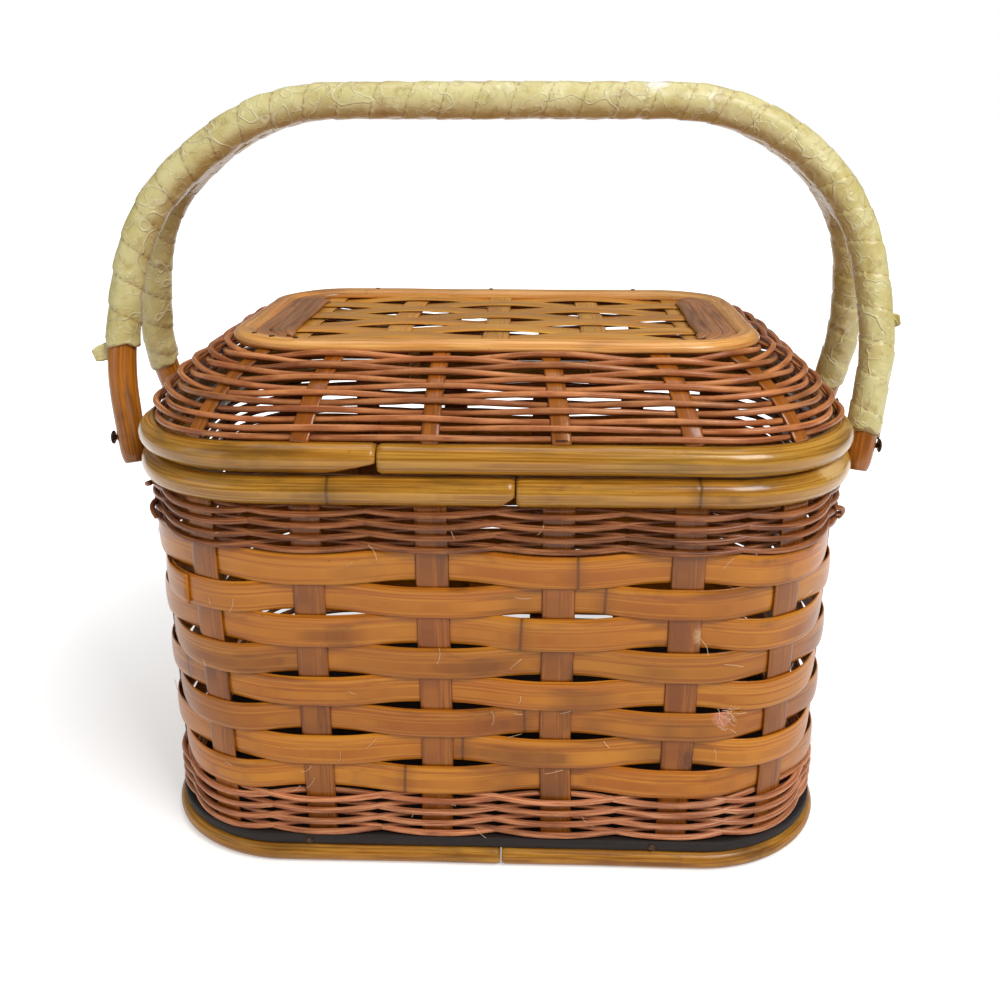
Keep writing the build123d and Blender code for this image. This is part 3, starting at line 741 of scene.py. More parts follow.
@dataclass
class BodyWeave(Maker):
    """Woven wall of the body: stakes, flat weavers and the two bands of twined reed."""

    bottom: float = 19 * MM
    weaver_bottom: float = 50.2 * MM
    weaver_pitch: float = 19.8 * MM
    weaver_rows: int = 8
    weaver_width: float = 19.5 * MM
    weaver_thick: float = 2.0 * MM
    stake_width: float = 19 * MM
    stake_thick: float = 1.9 * MM
    reed_radius: float = 1.9 * MM
    top: float = 236.2 * MM
    sag: float = 1.15 * MM
    lap: float = 24 * MM
    # Loose reed ends, in mm: place, level, length, how far they lift and how much they climb
    loose: tuple[tuple[float, ...], ...] = (
        (-232.0, 229.0, 12.0, 4.5, 3.0),
        (-222.0, 220.0, 11.0, 3.5, -7.0),
        (222.0, 220.0, 13.0, 4.5, -10.0),
        (228.0, 214.0, 12.0, 3.0, -5.0),
    )
    # Share of the way round at which each row starts, and its width as a share of the usual
    starts: tuple[float, ...] = (0.42, 0.55, 0.61, 0.38, 0.52, 0.46, -0.1573, 0.58)
    widths: tuple[float, ...] = (1.0, 1.02, 0.98, 1.0, 1.02, 1.08, 1.0, 1.02)

    def weavers(self) -> None:
        """Eight rows of bamboo, each in front of every other stake."""
        parts = MeshParts()
        swing = (self.weaver_thick + self.stake_thick) / 2 * 0.98
        for row in range(self.weaver_rows):
            count = 440
            start = self.starts[row] * ROUND
            along = np.linspace(start, start + ROUND + self.lap, count)
            side = wave(along, row, 0.10)
            points, out = ring_points(RIM_PLAN, along)
            loose = np.abs(self.drift(count, 22)) * 0.3 * MM
            over = np.clip((along - along[-1]) / self.lap + 2, 0, 1) * self.weaver_thick
            path = points + out * (side * swing + loose + over)[:, None]
            level = self.weaver_bottom + (row + 0.5) * self.weaver_pitch
            path[:, 2] = level - side * self.sag + self.drift(count, 18, 0.4 * MM)
            swell = 1 + self.drift(count, 14, 0.02)
            section = flat_section(self.weaver_width * self.widths[row], self.weaver_thick, 16, 0.35 * MM)
            tone = self.pick(0.1, 0.9)
            strand(parts, path, out, section, tone, swell=swell, start=row * 2.3, upright=True)
        parts.piece("bamboo_weavers", Finish.WEAVER, "body", "weavers", "body_wall")

    def stakes(self) -> None:
        """Eighteen flat stakes from the board to the rim."""
        parts = MeshParts()
        for index, place in enumerate(STAKES):
            count = 60
            rise = np.linspace(self.bottom - 0.4 * MM, self.top + 0.8 * MM, count)
            point, out = ring_points(RIM_PLAN, np.array([place]))
            path = np.repeat(point, count, 0)
            outs = np.repeat(out, count, 0)
            rows = (rise - self.weaver_bottom) / self.weaver_pitch
            push = np.cos(math.pi * (rows - 0.5)) * (1 if index % 2 else -1)
            inside = (rows > 0) & (rows < self.weaver_rows)
            path = path - outs * (np.where(inside, push, 0) * 0.22 * MM)[:, None]
            path[:, 2] = rise
            lean = self.drift(count, 3, 0.9 * MM)
            path += np.cross(outs, (0, 0, 1)) * lean[:, None]
            width = self.stake_width * self.pick(0.95, 1.02)
            section = flat_section(width, self.stake_thick, 12, 0.2 * MM, 3.4)
            strand(parts, path, outs, section, self.pick(0.1, 0.9), start=index * 0.41)
        parts.piece("wall_stakes", Finish.STAKE, "body", "weavers")

    def twine(self, name: str, levels: Array, finish: Finish, tilt: float) -> None:
        """A band of paired round reeds, each pair crossing between the stakes.

        Args:
            name: Name of the object.
            levels: Height of each pair.
            finish: The reed's finish.
            tilt: How much higher the band runs on the right than on the left.
        """
        parts = MeshParts()
        swing = self.reed_radius + self.stake_thick / 2
        for row, level in enumerate(levels):
            for pair in (0, 1):
                count = 432
                along = along_steps(count)
                side = wave(along, row + pair, 0.04)
                points, out = ring_points(RIM_PLAN, along)
                wander = self.drift(count, 30, 1.0, True)
                path = points + out * (side * swing + wander * 0.3 * MM)[:, None]
                slope = points[:, 0] / RIM_PLAN.half_width * tilt
                path[:, 2] = level - side * 1.8 * MM + slope + self.drift(count, 26, 0.4 * MM, True)
                swell = 1 + self.drift(count, 40, 0.10, True)
                tone = self.pick(0.05, 0.95)
                section = round_section(self.reed_radius, 8)
                strand(parts, path, out, section, tone, True, swell, row * 1.7 + pair)
        parts.piece(name, finish, "body", "reed")

    def strays(self) -> None:
        """Loose ends and loops of reed that stand out at the upper band's corners."""
        parts = MeshParts()
        count = 24
        share = np.linspace(0, 1, count)
        for place, level, length, lift, drop in self.loose:
            points, out = ring_points(RIM_PLAN, (place + share * length) * MM)
            path = points + out * ((2.4 + np.sin(share * math.pi * 0.8) * lift) * MM)[:, None]
            path[:, 2] = (level + drop * share**2) * MM
            strand(parts, path, out, round_section(1.6 * MM, 8), self.pick(0.3, 0.9))
        parts.piece("loose_reed_ends", Finish.REED, "body", "reed")

    def wisps(self) -> None:
        """Thin pale fibres that hang out of the weave's gaps, and a frayed tuft on one weaver."""
        parts = MeshParts()
        count = 12
        share = np.linspace(0, 1, count)
        spots = [(self.pick(-230, 230), self.pick(24, 232), 1.0) for _ in range(46)]
        spots += [(138 + self.pick(-5, 5), 105 + self.pick(-7, 7), 0.7) for _ in range(22)]
        for place, level, scale in spots:
            reach = self.pick(5, 13) * scale
            heading = self.pick(-1.4, 1.4)
            bend = self.pick(-1.2, 1.2)
            turn = heading + bend * share
            aside = np.cumsum(np.cos(turn)) * reach / count
            climb = np.cumsum(np.sin(turn)) * reach / count
            points, out = ring_points(RIM_PLAN, (place + aside) * MM)
            lift = 3.0 + share * self.pick(0.2, 2.2)
            path = points + out * (lift * MM)[:, None]
            path[:, 2] = (level + climb) * MM
            strand(parts, path, out, round_section(0.13 * MM, 4), self.pick(0.2, 1.0))
        parts.piece("stray_fibres", Finish.WISP, "body", "weavers")

    def build(self) -> None:
        """Make the whole wall."""
        self.weavers()
        self.stakes()
        low = np.linspace(self.bottom + 3.9 * MM, self.weaver_bottom - 3.9 * MM, 4)
        weaver_top = self.weaver_bottom + self.weaver_rows * self.weaver_pitch
        high = np.linspace(weaver_top + 3.0 * MM, self.top - 3.4 * MM, 4)
        self.twine("lower_twined_reed", low, Finish.LOW_REED, 1.0 * MM)
        self.twine("upper_twined_reed", high, Finish.REED, 0.0)
        self.strays()
        self.wisps()


@dataclass
class RimCane(Maker):
    """A round cane bent round the basket's plan, with a slanted cut at its joint."""

    name: str
    body: str
    slot: str
    node: str
    plan: Plan
    level: float
    radius: float
    joint: float
    finish: Finish = Finish.RIM
    bow: float = 0.0
    scarf: float = 0.0

    def build(self) -> None:
        """Sweep the cane from one side of its joint round to the other."""
        parts = MeshParts()
        count = 560
        gap = 0.5 * MM
        along = np.linspace(self.joint + gap, self.joint + ROUND - gap, count)
        points, out = ring_points(self.plan, along)
        path = points + out * (self.drift(count, 24, 0.3 * MM))[:, None]
        front = np.clip(-points[:, 1] / self.plan.half_depth, 0, 1) ** 3
        path[:, 2] = self.level + self.drift(count, 20, 0.2 * MM) + front * self.bow
        swell = 1 + self.drift(count, 30, 0.014)
        near = np.minimum(along - along[0], along[-1] - along)
        swell *= 1 - 0.12 * np.exp(-near / (0.6 * MM))
        section = round_section(self.radius, 28)
        strand(parts, path, out, section, self.pick(0.35, 0.65), swell=swell, upright=True)
        if self.scarf:
            rings = parts.points[-1].reshape(count, len(section), 3)
            cut = np.clip(1 - (along[-1] - along) / self.scarf, 0, 1)
            floor = path[:, 2] - self.radius * (1 - 0.9 * cut)
            rings[:, :, 2] = np.maximum(rings[:, :, 2], floor[:, None])
        parts.piece(self.name, self.finish, self.body, self.slot, self.node)


@dataclass
class LidDome(Maker):
    """Domed wall of the lid: leaning stakes and rows of round reed."""

    bottom: float = 271.2 * MM
    rise: float = 41.5 * MM
    inset: float = 54 * MM
    bulge: float = 6.5 * MM
    corner_loss: float = 35 * MM
    stake_width: float = 10.6 * MM
    stake_thick: float = 1.5 * MM
    reed_radius: float = 1.85 * MM
    rows: int = 13
    lowest: float = 0.05
    highest: float = 0.955

    def level(self, share: Array, along: Array) -> tuple[Array, Array]:
        """Points of the dome and its outward directions.

        Args:
            share: Height on the dome, 0 at the rim and 1 at the crown.
            along: Places round it.

        Returns:
            Points and directions.
        """
        slope = math.hypot(self.inset, self.rise)
        bow = self.bulge * 4 * share * (1 - share)
        inset = self.inset * share - bow * self.rise / slope
        rim, out = ring_points(RIM_PLAN, along)
        corner = RIM_PLAN.corner - self.corner_loss * inset / self.inset
        middle = rim - out * RIM_PLAN.corner
        flat = np.stack([np.sign(middle[:, 0]), np.sign(middle[:, 1]), np.zeros(len(along))], 1)
        shrink = (RIM_PLAN.corner - inset - corner)[:, None]
        reach = np.abs(middle) / np.array([FRONT_RUN, SIDE_RUN, 1.0])
        points = middle + flat * reach * shrink + out * corner[:, None]
        points[:, 2] = self.bottom + self.rise * share + bow * self.inset / slope
        lean = (math.atan2(self.rise, self.inset) + (1 - 2 * share) * 4 * self.bulge / slope)[:, None]
        return points, out * np.sin(lean) + np.array([0, 0, 1.0]) * np.cos(lean)

    def stakes(self) -> None:
        """Eighteen flat stakes that lean in from the rim to the crown."""
        parts = MeshParts()
        for index, place in enumerate(STAKES):
            count = 26
            share = np.linspace(0.0, 1.0, count)
            points, normal = self.level(share, np.full(count, place))
            drift = self.pick(-2.2, 2.2) * MM
            _, out = ring_points(RIM_PLAN, np.array([place]))
            aside = np.cross(out[0], (0, 0, 1))
            points = points + aside * (share * drift)[:, None] + normal * (0.3 * MM)
            width = self.stake_width * self.pick(0.92, 1.06)
            section = flat_section(width, self.stake_thick, 12, 0.1 * MM, 3.4)
            strand(parts, points, normal, section, self.pick(0.2, 1.0), start=index * 0.17)
        parts.piece("lid_stakes", Finish.STAKE, "lid", "lid_reed", "lid_wall")

    def reeds(self) -> None:
        """Round reeds one over another, each in front of every other stake."""
        parts = MeshParts()
        swing = self.reed_radius + self.stake_thick / 2
        count = 432
        along = along_steps(count)
        for row, share in enumerate(np.linspace(self.lowest, self.highest, self.rows)):
            side = wave(along, row, 0.04)
            wander = self.drift(count, 28, 1.0, True)
            points, normal = self.level(share - side * 0.008 + wander * 0.009, along)
            path = points + normal * (side * swing + 0.3 * MM)[:, None]
            swell = 1 + self.drift(count, 40, 0.10, True)
            tone = self.pick(0.05, 0.95)
            strand(parts, path, normal, round_section(self.reed_radius, 8), tone, True, swell, row * 1.3)
        parts.piece("lid_reeds", Finish.LID_REED, "lid", "lid_reed")

    def staples(self) -> None:
        """Small wire staples across the feet of two front stakes."""
        parts = MeshParts()
        for place in (40 * MM, 112 * MM):
            points, normal = self.level(np.full(9, 0.035), np.linspace(place - 3.2 * MM, place + 3.2 * MM, 9))
            path = points + normal * (1.35 * MM)
            strand(parts, path, normal, round_section(0.45 * MM, 6), 0.5, upright=True)
        parts.piece("stake_staples", Finish.NAIL, "lid", "nails")

    def build(self) -> None:
        """Make the dome's wall."""
        self.stakes()
        self.reeds()
        self.staples()


@dataclass
class LidTop(Maker):
    """Crown cane, the flattened splits across its ends and the woven panel inside it."""

    plan: Plan = CROWN_PLAN
    bottom: float = 312.9 * MM
    width: float = 14.6 * MM
    height: float = 6.0 * MM
    strips: int = 8
    slats: int = 5
    slat_width: float = 16 * MM
    panel_thick: float = 1.2 * MM

    def crown(self) -> None:
        """Half-round cane round the top of the dome."""
        parts = MeshParts()
        count = 420
        along = np.linspace(0.3 * ROUND, 1.3 * ROUND - 1 * MM, count)
        points, out = ring_points(self.plan, along)
        path = points + out * (self.drift(count, 26, 0.5 * MM))[:, None]
        path[:, 2] = self.bottom + self.drift(count, 22, 0.3 * MM)
        angle = np.linspace(0, math.pi, 15)
        arch = np.stack([np.cos(angle) * self.width / 2, np.sin(angle) ** 0.8 * self.height], 1)
        foot = np.array([[-self.width * 0.3, -0.3 * MM], [self.width * 0.3, -0.3 * MM]])
        swell = 1 + self.drift(count, 30, 0.02)
        strand(parts, path, out, np.concatenate([arch, foot]), 0.5, swell=swell, upright=True)
        parts.piece("crown_cane", Finish.CROWN, "lid", "crown_cane", "crown_ring")

    def splits(self) -> None:
        """Flattened cane splits that run side by side round each end, inside the crown."""
        parts = MeshParts()
        for side, middle in ((1, HALF_ROUND / 2), (-1, HALF_ROUND * 1.5)):
            for lane in range(3):
                count = 60
                reach = (150 - lane * 12) * MM
                along = np.linspace(middle - reach, middle + reach, count) + self.pick(-6, 6) * MM
                inset = (11.0 + lane * 7.6) * MM
                points, out = ring_points(self.plan.inset(inset, min(inset, 30 * MM)), along)
                wander = self.drift(count, 5, 0.8 * MM)
                path = points + out * wander[:, None]
                share = np.linspace(-1, 1, count)
                path[:, 2] = self.bottom + (2.9 - lane * 0.35) * MM - np.abs(share) ** 8 * 1.6 * MM
                swell = np.clip((1 - np.abs(share) ** 14) * 1.05, 0.25, 1)
                section = flat_section(3.4 * MM, 8.4 * MM, 14, 0.0, 2.2)
                tone = self.pick(0.1, 0.9)
                strand(parts, path, out, section, tone, swell=swell, start=lane + side, upright=True)
        parts.piece("crown_end_splits", Finish.SPLIT, "lid", "splits", "end_splits")

    def reach(self, y: float) -> float:
        """How far a strip may reach along x inside the crown, at a depth y."""
        corner = self.plan.corner
        over = max(0.0, abs(y) - (self.plan.half_depth - corner))
        return self.plan.half_width - corner + math.sqrt(max(corner**2 - over**2, 0.0))

    def panel(self) -> None:
        """Strips along the basket, over and under the slats across it."""
        parts = MeshParts()
        depth = 2 * self.plan.half_depth
        pitch = depth / self.strips
        slat_pitch = 2 * self.plan.half_width / self.slats
        middle = self.bottom - 2.0 * MM
        crown = 2.2 * MM
        for strip in range(self.strips):
            y = (strip + 0.5 - self.strips / 2) * pitch
            reach = self.reach(abs(y) + pitch * 0.35) - 1 * MM
            count = 120
            x = np.linspace(-reach, reach, count)
            slot = x / slat_pitch + self.slats / 2 - 0.5
            push = np.cos(math.pi * (slot - strip)) * 1.35 * MM
            bend = self.drift(count, 5, 1.1 * MM)
            path = np.stack([x, y + bend, middle + push + crown * (1 - (x / self.plan.half_width) ** 2)], 1)
            out = np.tile([0.0, 0.0, 1.0], (count, 1))
            width = (pitch - 1.2 * MM) * self.pick(0.93, 1.0)
            swell = 1 + self.drift(count, 6, 0.05)
            section = flat_section(width, self.panel_thick, 12, 0.3 * MM, 3.0)
            strand(parts, path, out, section, self.pick(0.1, 0.9), swell=swell, start=strip * 0.7)
        for slat in range(self.slats):
            x = (slat + 0.5 - self.slats / 2) * slat_pitch
            count = 80
            y = np.linspace(-self.plan.half_depth + 1 * MM, self.plan.half_depth - 1 * MM, count)
            turn = y / pitch + self.strips / 2 - 0.5
            push = -np.cos(math.pi * (turn - slat)) * 0.7 * MM
            lift = crown * (1 - (x / self.plan.half_width) ** 2)
            path = np.stack([x + self.drift(count, 4, 1.2 * MM), y, middle + push + lift], 1)
            out = np.tile([0.0, 0.0, 1.0], (count, 1))
            section = flat_section(self.slat_width, self.panel_thick, 12, 0.1 * MM, 3.0)
            strand(parts, path, out, section, self.pick(0.1, 0.9), start=slat * 0.5)
        parts.piece("woven_top_panel", Finish.PANEL, "lid", "panel", "top_panel")

    def build(self) -> None:
        """Make the crown, its splits and the panel."""
        self.crown()
        self.splits()
        self.panel()


def bent_path(corners: list[Place], radii: tuple[float, ...], step: float) -> Array:
    """Points of a bent cane, evenly spaced, with an arc at each inner corner.

    Args:
        corners: The cane's corners.
        radii: Radius of each inner corner's bend.
        step: Distance between the points.

    Returns:
        The points.
    """
    places = [np.array(corner) for corner in corners]
    rough = [places[0]]
    for before, here, after, radius in zip(places, places[1:], places[2:], radii):
        back = (before - here) / np.linalg.norm(before - here)
        ahead = (after - here) / np.linalg.norm(after - here)
        turn = math.pi - math.acos(float(np.clip(back @ ahead, -1, 1)))
        bisector = (back + ahead) / np.linalg.norm(back + ahead)
        centre = here + bisector * (radius / math.cos(turn / 2))
        start = here + back * radius * math.tan(turn / 2) - centre
        end = here + ahead * radius * math.tan(turn / 2) - centre
        for share in np.linspace(0, 1, 24):
            reach = start * math.sin(turn * (1 - share)) + end * math.sin(turn * share)
            rough.append(centre + reach / math.sin(turn))
    rough.append(places[-1])
    points = np.array(rough)
    lengths = np.concatenate([[0], np.cumsum(np.linalg.norm(np.diff(points, axis=0), axis=1))])
    even = np.linspace(0, lengths[-1], max(8, round(lengths[-1] / step)))
    return np.stack([np.interp(even, lengths, points[:, axis]) for axis in range(3)], 1)


def soften(path: Array, passes: int) -> Array:
    """The path with its kinks evened out and its ends kept."""
    smooth = path.copy()
    for _ in range(passes):
        smooth[1:-1] = smooth[1:-1] * 0.5 + (smooth[:-2] + smooth[2:]) * 0.25
    return smooth


@dataclass
class Handle(Maker):
    """Two bent canes bound with tape over the arch, each leg nailed to the body's rim."""

    radius: float = 9.0 * MM
    tape: float = 1.7 * MM
    top: float = 448.5 * MM
    spacing: float = 10.6 * MM
    leg_y: float = 55 * MM
    foot_z: float = 230 * MM
    step: float = 1.5 * MM
    bends: tuple[float, ...] = (0.130, 0.110, 0.120)
    wrap: float = 21 * MM
    # By side, in mm: shoulder x, elbow x, y and z, knee x, y and z, foot x
    forms: dict[int, tuple[float, ...]] = field(
        default_factory=lambda: {
            -1: (144.0, 226.0, 18.0, 386.0, 242.0, 36.0, 288.0, 231.0),
            1: (146.0, 225.0, 12.0, 396.0, 238.0, 38.0, 305.0, 227.0),
        }
    )
    # By cane: how far above its left and its right foot the tape ends
    cuts: dict[int, tuple[float, float]] = field(
        default_factory=lambda: {-1: (75 * MM, 24 * MM), 1: (50 * MM, 34 * MM)}
    )

    def half(self, side: int, front: int) -> Array:
        """Half a cane's middle line, from the grip's middle down to its foot."""
        form = (value * MM for value in self.forms[side])
        shoulder, elbow_x, elbow_y, elbow_z, knee_x, knee_y, knee_z, foot = form
        corners = [
            (0.0, front * self.spacing, self.top),
            (side * shoulder, front * self.spacing, self.top),
            (side * elbow_x, front * elbow_y, elbow_z),
            (side * knee_x, front * knee_y, knee_z),
            (side * foot, front * self.leg_y, self.foot_z),
        ]
        return bent_path(corners, self.bends, self.step)

    def line(self, front: int) -> Array:
        """A whole cane's middle line, from its left foot to its right foot."""
        return soften(np.concatenate([self.half(-1, front)[:0:-1], self.half(1, front)]), 60)

    def pole(self, front: int, name: str, node: str) -> None:
        """One bare cane, with tapered and cut feet."""
        parts = MeshParts()
        path = self.line(front)
        count = len(path)
        length = np.arange(count) * self.step
        near = np.minimum(length, length[-1] - length)
        swell = 1 - 0.25 * np.exp(-near / (4 * MM)) + self.drift(count, 40, 0.02)
        out = np.tile([0.0, float(front), 0.0], (count, 1))
        section = round_section(self.radius * 0.985, 24)
        strand(parts, path, out, section, self.pick(0.3, 0.7), swell=swell)
        parts.piece(name, Finish.HANDLE, "body", "handle_cane", node)

    def sleeve(self, front: int, name: str, *nodes: str) -> None:
        """Tape round one cane: half of the double grip on top, a sleeve of its own on each leg."""
        parts = MeshParts()
        path = self.line(front)
        left, right = self.cuts[front]
        path = path[round(left / self.step) : len(path) - round(right / self.step)]
        count, sides = len(path), 44
        radius = self.radius + self.tape
        ahead = unit(np.gradient(path, axis=0))
        face = np.tile([0.0, float(front), 0.0], (count, 1))
        face = unit(face - ahead * np.sum(face * ahead, 1, keepdims=True))
        rise = np.cross(ahead, face) * front
        apart = np.abs(path[:, 1])
        joined = smooth(np.clip((19 * MM - apart) / (5 * MM), 0, 1))
        length = np.arange(count) * self.step
        angle = circle(sides)
        spiral = np.mod(length[:, None] / self.wrap + angle[None, :] / (2 * math.pi) * front, 1.0)
        lap = (1 - spiral) ** 0.6 * 0.75 * MM
        size = radius - 0.5 * MM + lap + self.crumple(count, angle)
        cos, sin = np.cos(angle)[None, :], np.sin(angle)[None, :]
        across, above = cos * size, sin * size
        wall = -(apart[:, None] + 0.6 * MM)
        web = np.maximum(wall, across * 2.4)
        flat = np.sign(sin) * size * np.minimum(1.0, np.abs(sin) * 1.9)
        waist = 1 - 0.16 * np.exp(-((np.maximum(wall, across) - wall) / (4 * MM)) ** 2)
        mixed = joined[:, None] * (cos < 0)
        across = across * (1 - mixed) + web * mixed
        above = above * (1 - mixed) + flat * waist * mixed
        rings = path[:, None, :] + face[:, None, :] * across[:, :, None]
        rings = rings + rise[:, None, :] * above[:, :, None]
        for place, heading in ((length, -1.0), (length[-1] - length, 1.0)):
            torn = self.drift(sides, 11, 4 * MM, True)
            near = np.clip(1 - place / (14 * MM), 0, 1) ** 2
            rings += ahead[:, None, :] * (near[:, None] * torn[None, :] * heading)[:, :, None]
        around = np.minimum(angle, 2 * math.pi - angle) * radius
        parts.skin(rings, fibre_rows(length, around, spiral))
        if front < 0:
            right_leg = path[count // 2 :]
            self.flap(parts, path[0], (-1.0, -0.25, -0.35), 9 * MM, 11 * MM)
            nearest = right_leg[np.argmin(np.abs(right_leg[:, 2] - 318 * MM))]
            self.flap(parts, nearest, (1.0, -0.3, 0.25), 4 * MM, 9 * MM)
        parts.piece(name, Finish.TAPE, "body", "tape", *nodes)

    def flap(self, parts: MeshParts, root: Array, heading: Place, length: float, width: float) -> None:
        """A loose tab of tape that stands off a cane.

        Args:
            parts: Where its faces go.
            root: A point of the cane's middle line.
            heading: Which way the tab points.
            length: How far it stands off the tape.
            width: Its width.
        """
        ahead = unit(np.array(heading))
        normal = unit(np.array([0.0, -1.0, 0.0]) + ahead * ahead[1])
        share = np.linspace(0, 1, 10)[:, None]
        reach = self.radius - 1 * MM + share * (length + 2 * MM)
        path = root + ahead * reach + normal * (share**2 * 1.5 * MM)
        swell = 1 - share[:, 0] ** 4 * 0.35
        strand(parts, path, np.tile(normal, (10, 1)), flat_section(width, 0.5 * MM, 10), 0.5, swell=swell)

    def crumple(self, count: int, angle: Array) -> Array:
        """Wrinkles of the tape, in metres, for each ring and angle."""
        total = np.zeros((count, len(angle)))
        for knots, strength in ((3, 0.22), (7, 0.20), (13, 0.14)):
            for turns in (1, 2, 3, 5):
                swing = self.drift(count, knots * 10)[:, None]
                phase = self.pick(0, 2 * math.pi)
                twist = self.drift(count, knots * 2, 2.0)[:, None]
                total += swing * np.cos(angle[None, :] * turns + phase + twist) * strength * MM
        return total * 0.8

    def build(self) -> None:
        """Make the canes and the tape."""
        self.pole(-1, "front_cane", "front_handle_pole")
        self.pole(1, "rear_cane", "rear_handle_pole")
        self.sleeve(-1, "front_tape", "handle_tape")
        self.sleeve(1, "rear_tape")


@dataclass
class HingeLoops(Maker):
    """Cane bindings round both rims at the back, which the lid turns in."""

    places: tuple[float, ...] = (-72 * MM, 72 * MM)
    radius: float = 9.9 * MM
    windings: int = 3
    band: float = 2.9 * MM
    thick: float = 1.3 * MM
    step: float = 1.3 * MM

    def build(self) -> None:
        """Wind flat cane splits side by side round both canes."""
        parts = MeshParts()
        count = 96
        half = math.pi * self.radius
        run = LID_RIM_LEVEL - BODY_RIM_LEVEL
        knots = np.cumsum((0, half, run, half, run))
        place = np.linspace(0, knots[-1], count, endpoint=False)
        angle = np.interp(place, knots, np.array((0, 1, 1, 2, 2)) * math.pi)
        levels = (LID_RIM_LEVEL, LID_RIM_LEVEL, BODY_RIM_LEVEL, BODY_RIM_LEVEL, LID_RIM_LEVEL)
        level = np.interp(place, knots, levels)
        out = np.stack([np.zeros(count), np.cos(angle), np.sin(angle)], 1)
        path = out * self.radius + np.stack([np.zeros(count), np.full(count, RIM_PLAN.half_depth), level], 1)
        section = flat_section(self.band, self.thick, 10, 0.1 * MM, 2.6)
        across = np.array([1.0, 0.0, 0.0])
        flat_rings = path[:, None, :] + out[:, None, :] * section[None, :, :1] + across * section[None, :, 1:]
        for x in self.places:
            for winding in range(self.windings):
                shift = x + (winding - (self.windings - 1) / 2) * (self.band + 0.1 * MM)
                fibres = fibre_rows(np.arange(count) * self.step, section[:, 1], self.pick(0.2, 0.8))
                parts.skin(flat_rings + across * shift, fibres, closed=True)
        parts.piece("rim_bindings", Finish.CROWN, "body", "binding", "hinge_loops")


@dataclass
class Base(Maker):
    """Dark board that closes the bottom, with a rough rounded edge."""

    bottom: float = 12 * MM
    plan: Plan = RIM_PLAN.inset(-5 * MM, -5 * MM)
    # Inset and height of each outline in mm, from the underside round the edge to the top
    profile: tuple[tuple[float, float], ...] = (
        (60, 0.0), (3, 0.0), (1.0, 0.3), (0.2, 1.2), (0.0, 3.5), (0.2, 5.8), (1.0, 6.7), (3, 7.0), (60, 7.0),
    )

    def build(self) -> None:
        """Stack outlines from the middle of the underside round the edge to the middle of the top."""
        parts = MeshParts()
        along = along_steps(360)
        rough = np.abs(self.drift(360, 90, 0.25 * MM, True))[:, None]
        loops = []
        for inset, height in self.profile:
            points, out = ring_points(self.plan.inset(inset * MM, inset * MM), along)
            if inset < 2:
                points = points - out * rough
            points[:, 2] = self.bottom + height * MM
            loops.append(points)
        parts.skin(np.stack(loops))
        parts.piece("bottom_board", Finish.BOARD, "body", "board", "base_board")


@dataclass
class Nails:
    """Domed nail heads on short shanks."""

    leg_x: float = 205 * MM
    board_x: tuple[float, float] = (100 * MM, 112 * MM)
    crown_places: tuple[float, ...] = (530.0, 652.0, 750.0, 1092.0, 1120.0, 1148.0)

    def nail(
        self, parts: MeshParts, foot: Place, heading: Place, shank: float, radius: float, head: float
    ) -> None:
        """One nail: a shank that ends in a flattened dome.

        Args:
            parts: Where its faces go.
            foot: Where the shank starts.
            heading: Direction of the nail, towards its head.
            shank: Length of the shank.
            radius: Radius of the shank.
            head: Radius of the head.
        """
        profile = [(radius, 0.0), (radius, shank), (head * 0.86, shank), (head, shank + head * 0.10)]
        for bend in np.linspace(0.3, 1.5, 6):
            profile.append((head * math.cos(bend), shank + head * (0.12 + 0.30 * math.sin(bend))))
        ahead = np.array(heading, float)
        first = unit(np.cross(ahead, (0.0, 0.3, 1.0)))
        angle = circle(20)[:, None]
        spokes = first * np.cos(angle) + np.cross(ahead, first) * np.sin(angle)
        parts.skin(np.stack([np.array(foot) + ahead * height + spokes * size for size, height in profile]))

    def build(self) -> None:
        """The legs' nails, the board's and the crown's."""
        legs, board, crown = MeshParts(), MeshParts(), MeshParts()
        low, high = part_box("handle_nails")
        for side, reach, deep in ((-1, -low.x, 50.1 * MM), (1, high.x, 51.6 * MM)):
            for front in (-1, 1):
                foot = (side * self.leg_x, front * deep, BODY_RIM_LEVEL)
                self.nail(legs, foot, (side, 0, 0), reach - self.leg_x - 2.2 * MM, 1.7 * MM, 4.4 * MM)
        legs.piece("leg_nails", Finish.NAIL, "body", "nails", "handle_nails")
        for side in (-1, 1):
            for x in (-side * self.board_x[0], side * self.board_x[1]):
                self.nail(board, (x, side * 148 * MM, 15.5 * MM), (0, side, 0), 4.0 * MM, 1.1 * MM, 2.2 * MM)
        board.piece("edge_nails", Finish.NAIL, "body", "nails", "board_nails")
        points, _ = ring_points(CROWN_PLAN, np.array(self.crown_places) * MM)
        for x, y, _ in points:
            self.nail(crown, (x, y, 314 * MM), (0, 0, 1), 4.8 * MM, 0.9 * MM, 1.7 * MM)
        crown.piece("crown_pins", Finish.NAIL, "lid", "nails", "crown_nails")


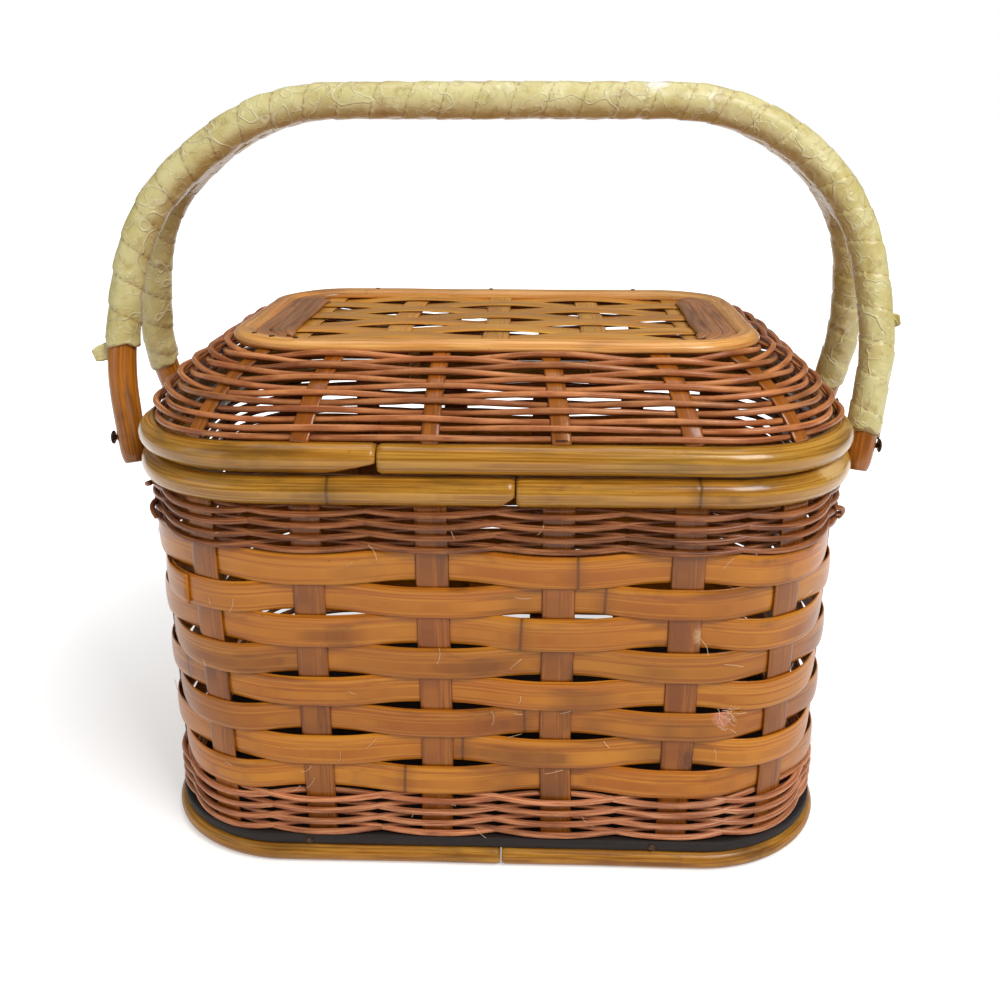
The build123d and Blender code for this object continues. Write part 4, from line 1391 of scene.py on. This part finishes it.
@dataclass
class Studio:
    """Plain pale floor, soft lamps and the photograph's camera."""

    lens: float = 38.99
    place: Place = (0.026, -0.7107, 0.4417)
    down: float = 19.7
    turn: float = 2.0
    floor_size: float = 6.0

    def camera(self) -> None:
        """Set the camera where the photograph was taken."""
        data = bpy.data.cameras.new("photo_camera")
        data.lens = self.lens
        data.sensor_width = 36.0
        data.clip_start = 0.01
        item = add_object("photo_camera", data)
        item.location = self.place
        item.rotation_euler = Euler((math.radians(90 - self.down), 0.0, math.radians(self.turn)))
        bpy.context.scene.camera = item

    def floor(self) -> None:
        """A wide pale floor that keeps the basket's shadow."""
        mesh = bpy.data.meshes.new("studio_floor")
        size = self.floor_size
        corners = [(-size, -size, 0), (size, -size, 0), (size, size, 0), (-size, size, 0)]
        mesh.from_pydata(corners, [], [(0, 1, 2, 3)])
        shader = Shader("pale_floor")
        shader.feed("Base Color", (0.86, 0.86, 0.86))
        shader.feed("Roughness", 0.9)
        shader.feed("Specular IOR Level", 0.1)
        path = shader.tree.nodes.new("ShaderNodeLightPath")
        rays = ("Is Camera Ray", "Is Glossy Ray", "Is Transmission Ray")
        camera, glossy, through = (Socket(shader, path.outputs[ray]) for ray in rays)
        seen = camera.high(glossy).high(through)
        away = shader.node("ShaderNodeVectorMath", {"operation": "LENGTH"}, {0: shader.place()}, "Value")
        glow = seen * (away.ramp(0.28, 0.85) * 0.75 + 0.45)
        shader.feed("Emission Color", shader.point(glow, glow, glow))
        shader.feed("Emission Strength", 1.0)
        mesh.materials.append(shader.material)
        item = add_object("studio_floor", mesh)

    def lamp(self, name: str, place: Place, aim: Place, size: float, power: float) -> None:
        """A square soft lamp that looks at a point."""
        data = bpy.data.lights.new(name, "AREA")
        data.shape = "SQUARE"
        data.size = size
        data.energy = power
        item = add_object(name, data)
        item.location = place
        item.rotation_euler = (Vector(aim) - Vector(place)).to_track_quat("-Z", "Y").to_euler()

    def light(self) -> None:
        """A soft key from the upper right, a fill from the left and a pale sky."""
        self.lamp("key", (0.75, -1.0, 1.45), (0, 0, 0.22), 0.7, 20)
        self.lamp("fill", (-1.3, -0.9, 0.8), (0, 0, 0.2), 1.0, 4)
        self.lamp("top", (0.0, 0.15, 1.6), (0, 0, 0.3), 1.0, 6)
        world = bpy.data.worlds.new("pale_room")
        bpy.context.scene.world = world
        world.use_nodes = True
        tree = world.node_tree
        sky = tree.nodes["Background"]
        white = tree.nodes.new("ShaderNodeBackground")
        white.inputs["Color"].default_value = (1, 1, 1, 1)
        white.inputs["Strength"].default_value = 1.0
        sky.inputs["Color"].default_value = (1.0, 0.98, 0.95, 1)
        sky.inputs["Strength"].default_value = 0.2
        path = tree.nodes.new("ShaderNodeLightPath")
        mix = tree.nodes.new("ShaderNodeMixShader")
        tree.links.new(path.outputs["Is Camera Ray"], mix.inputs[0])
        tree.links.new(sky.outputs[0], mix.inputs[1])
        tree.links.new(white.outputs[0], mix.inputs[2])
        tree.links.new(mix.outputs[0], tree.nodes["World Output"].inputs["Surface"])

    def build(self) -> None:
        """Set up the whole studio."""
        self.camera()
        self.floor()
        self.light()
        bpy.context.scene.view_settings.view_transform = "Standard"


def main() -> None:
    """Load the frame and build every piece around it."""
    logging.basicConfig(level=logging.INFO, format="%(name)s: %(message)s")
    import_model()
    Studio().build()
    random = np.random.default_rng(SEED)
    Base(random).build()
    RimCane(
        random, "foot_cane", "body", "foot_cane", "foot_ring", RIM_PLAN.inset(-2 * MM, -2 * MM),
        level=6 * MM, radius=6 * MM, joint=7 * MM, finish=Finish.FOOT,
    ).build()
    BodyWeave(random).build()
    RimCane(
        random, "body_rim_cane", "body", "rim_cane", "body_rim", RIM_PLAN,
        level=BODY_RIM_LEVEL, radius=RIM_RADIUS, joint=15 * MM, scarf=9 * MM,
    ).build()
    LidDome(random).build()
    RimCane(
        random, "lid_rim_cane", "lid", "rim_cane", "lid_rim", RIM_PLAN,
        level=LID_RIM_LEVEL, radius=RIM_RADIUS, joint=-61 * MM, bow=0.8 * MM, scarf=30 * MM,
    ).build()
    LidTop(random).build()
    HingeLoops(random).build()
    Handle(random).build()
    Nails().build()


if __name__ == "__main__":
    main()
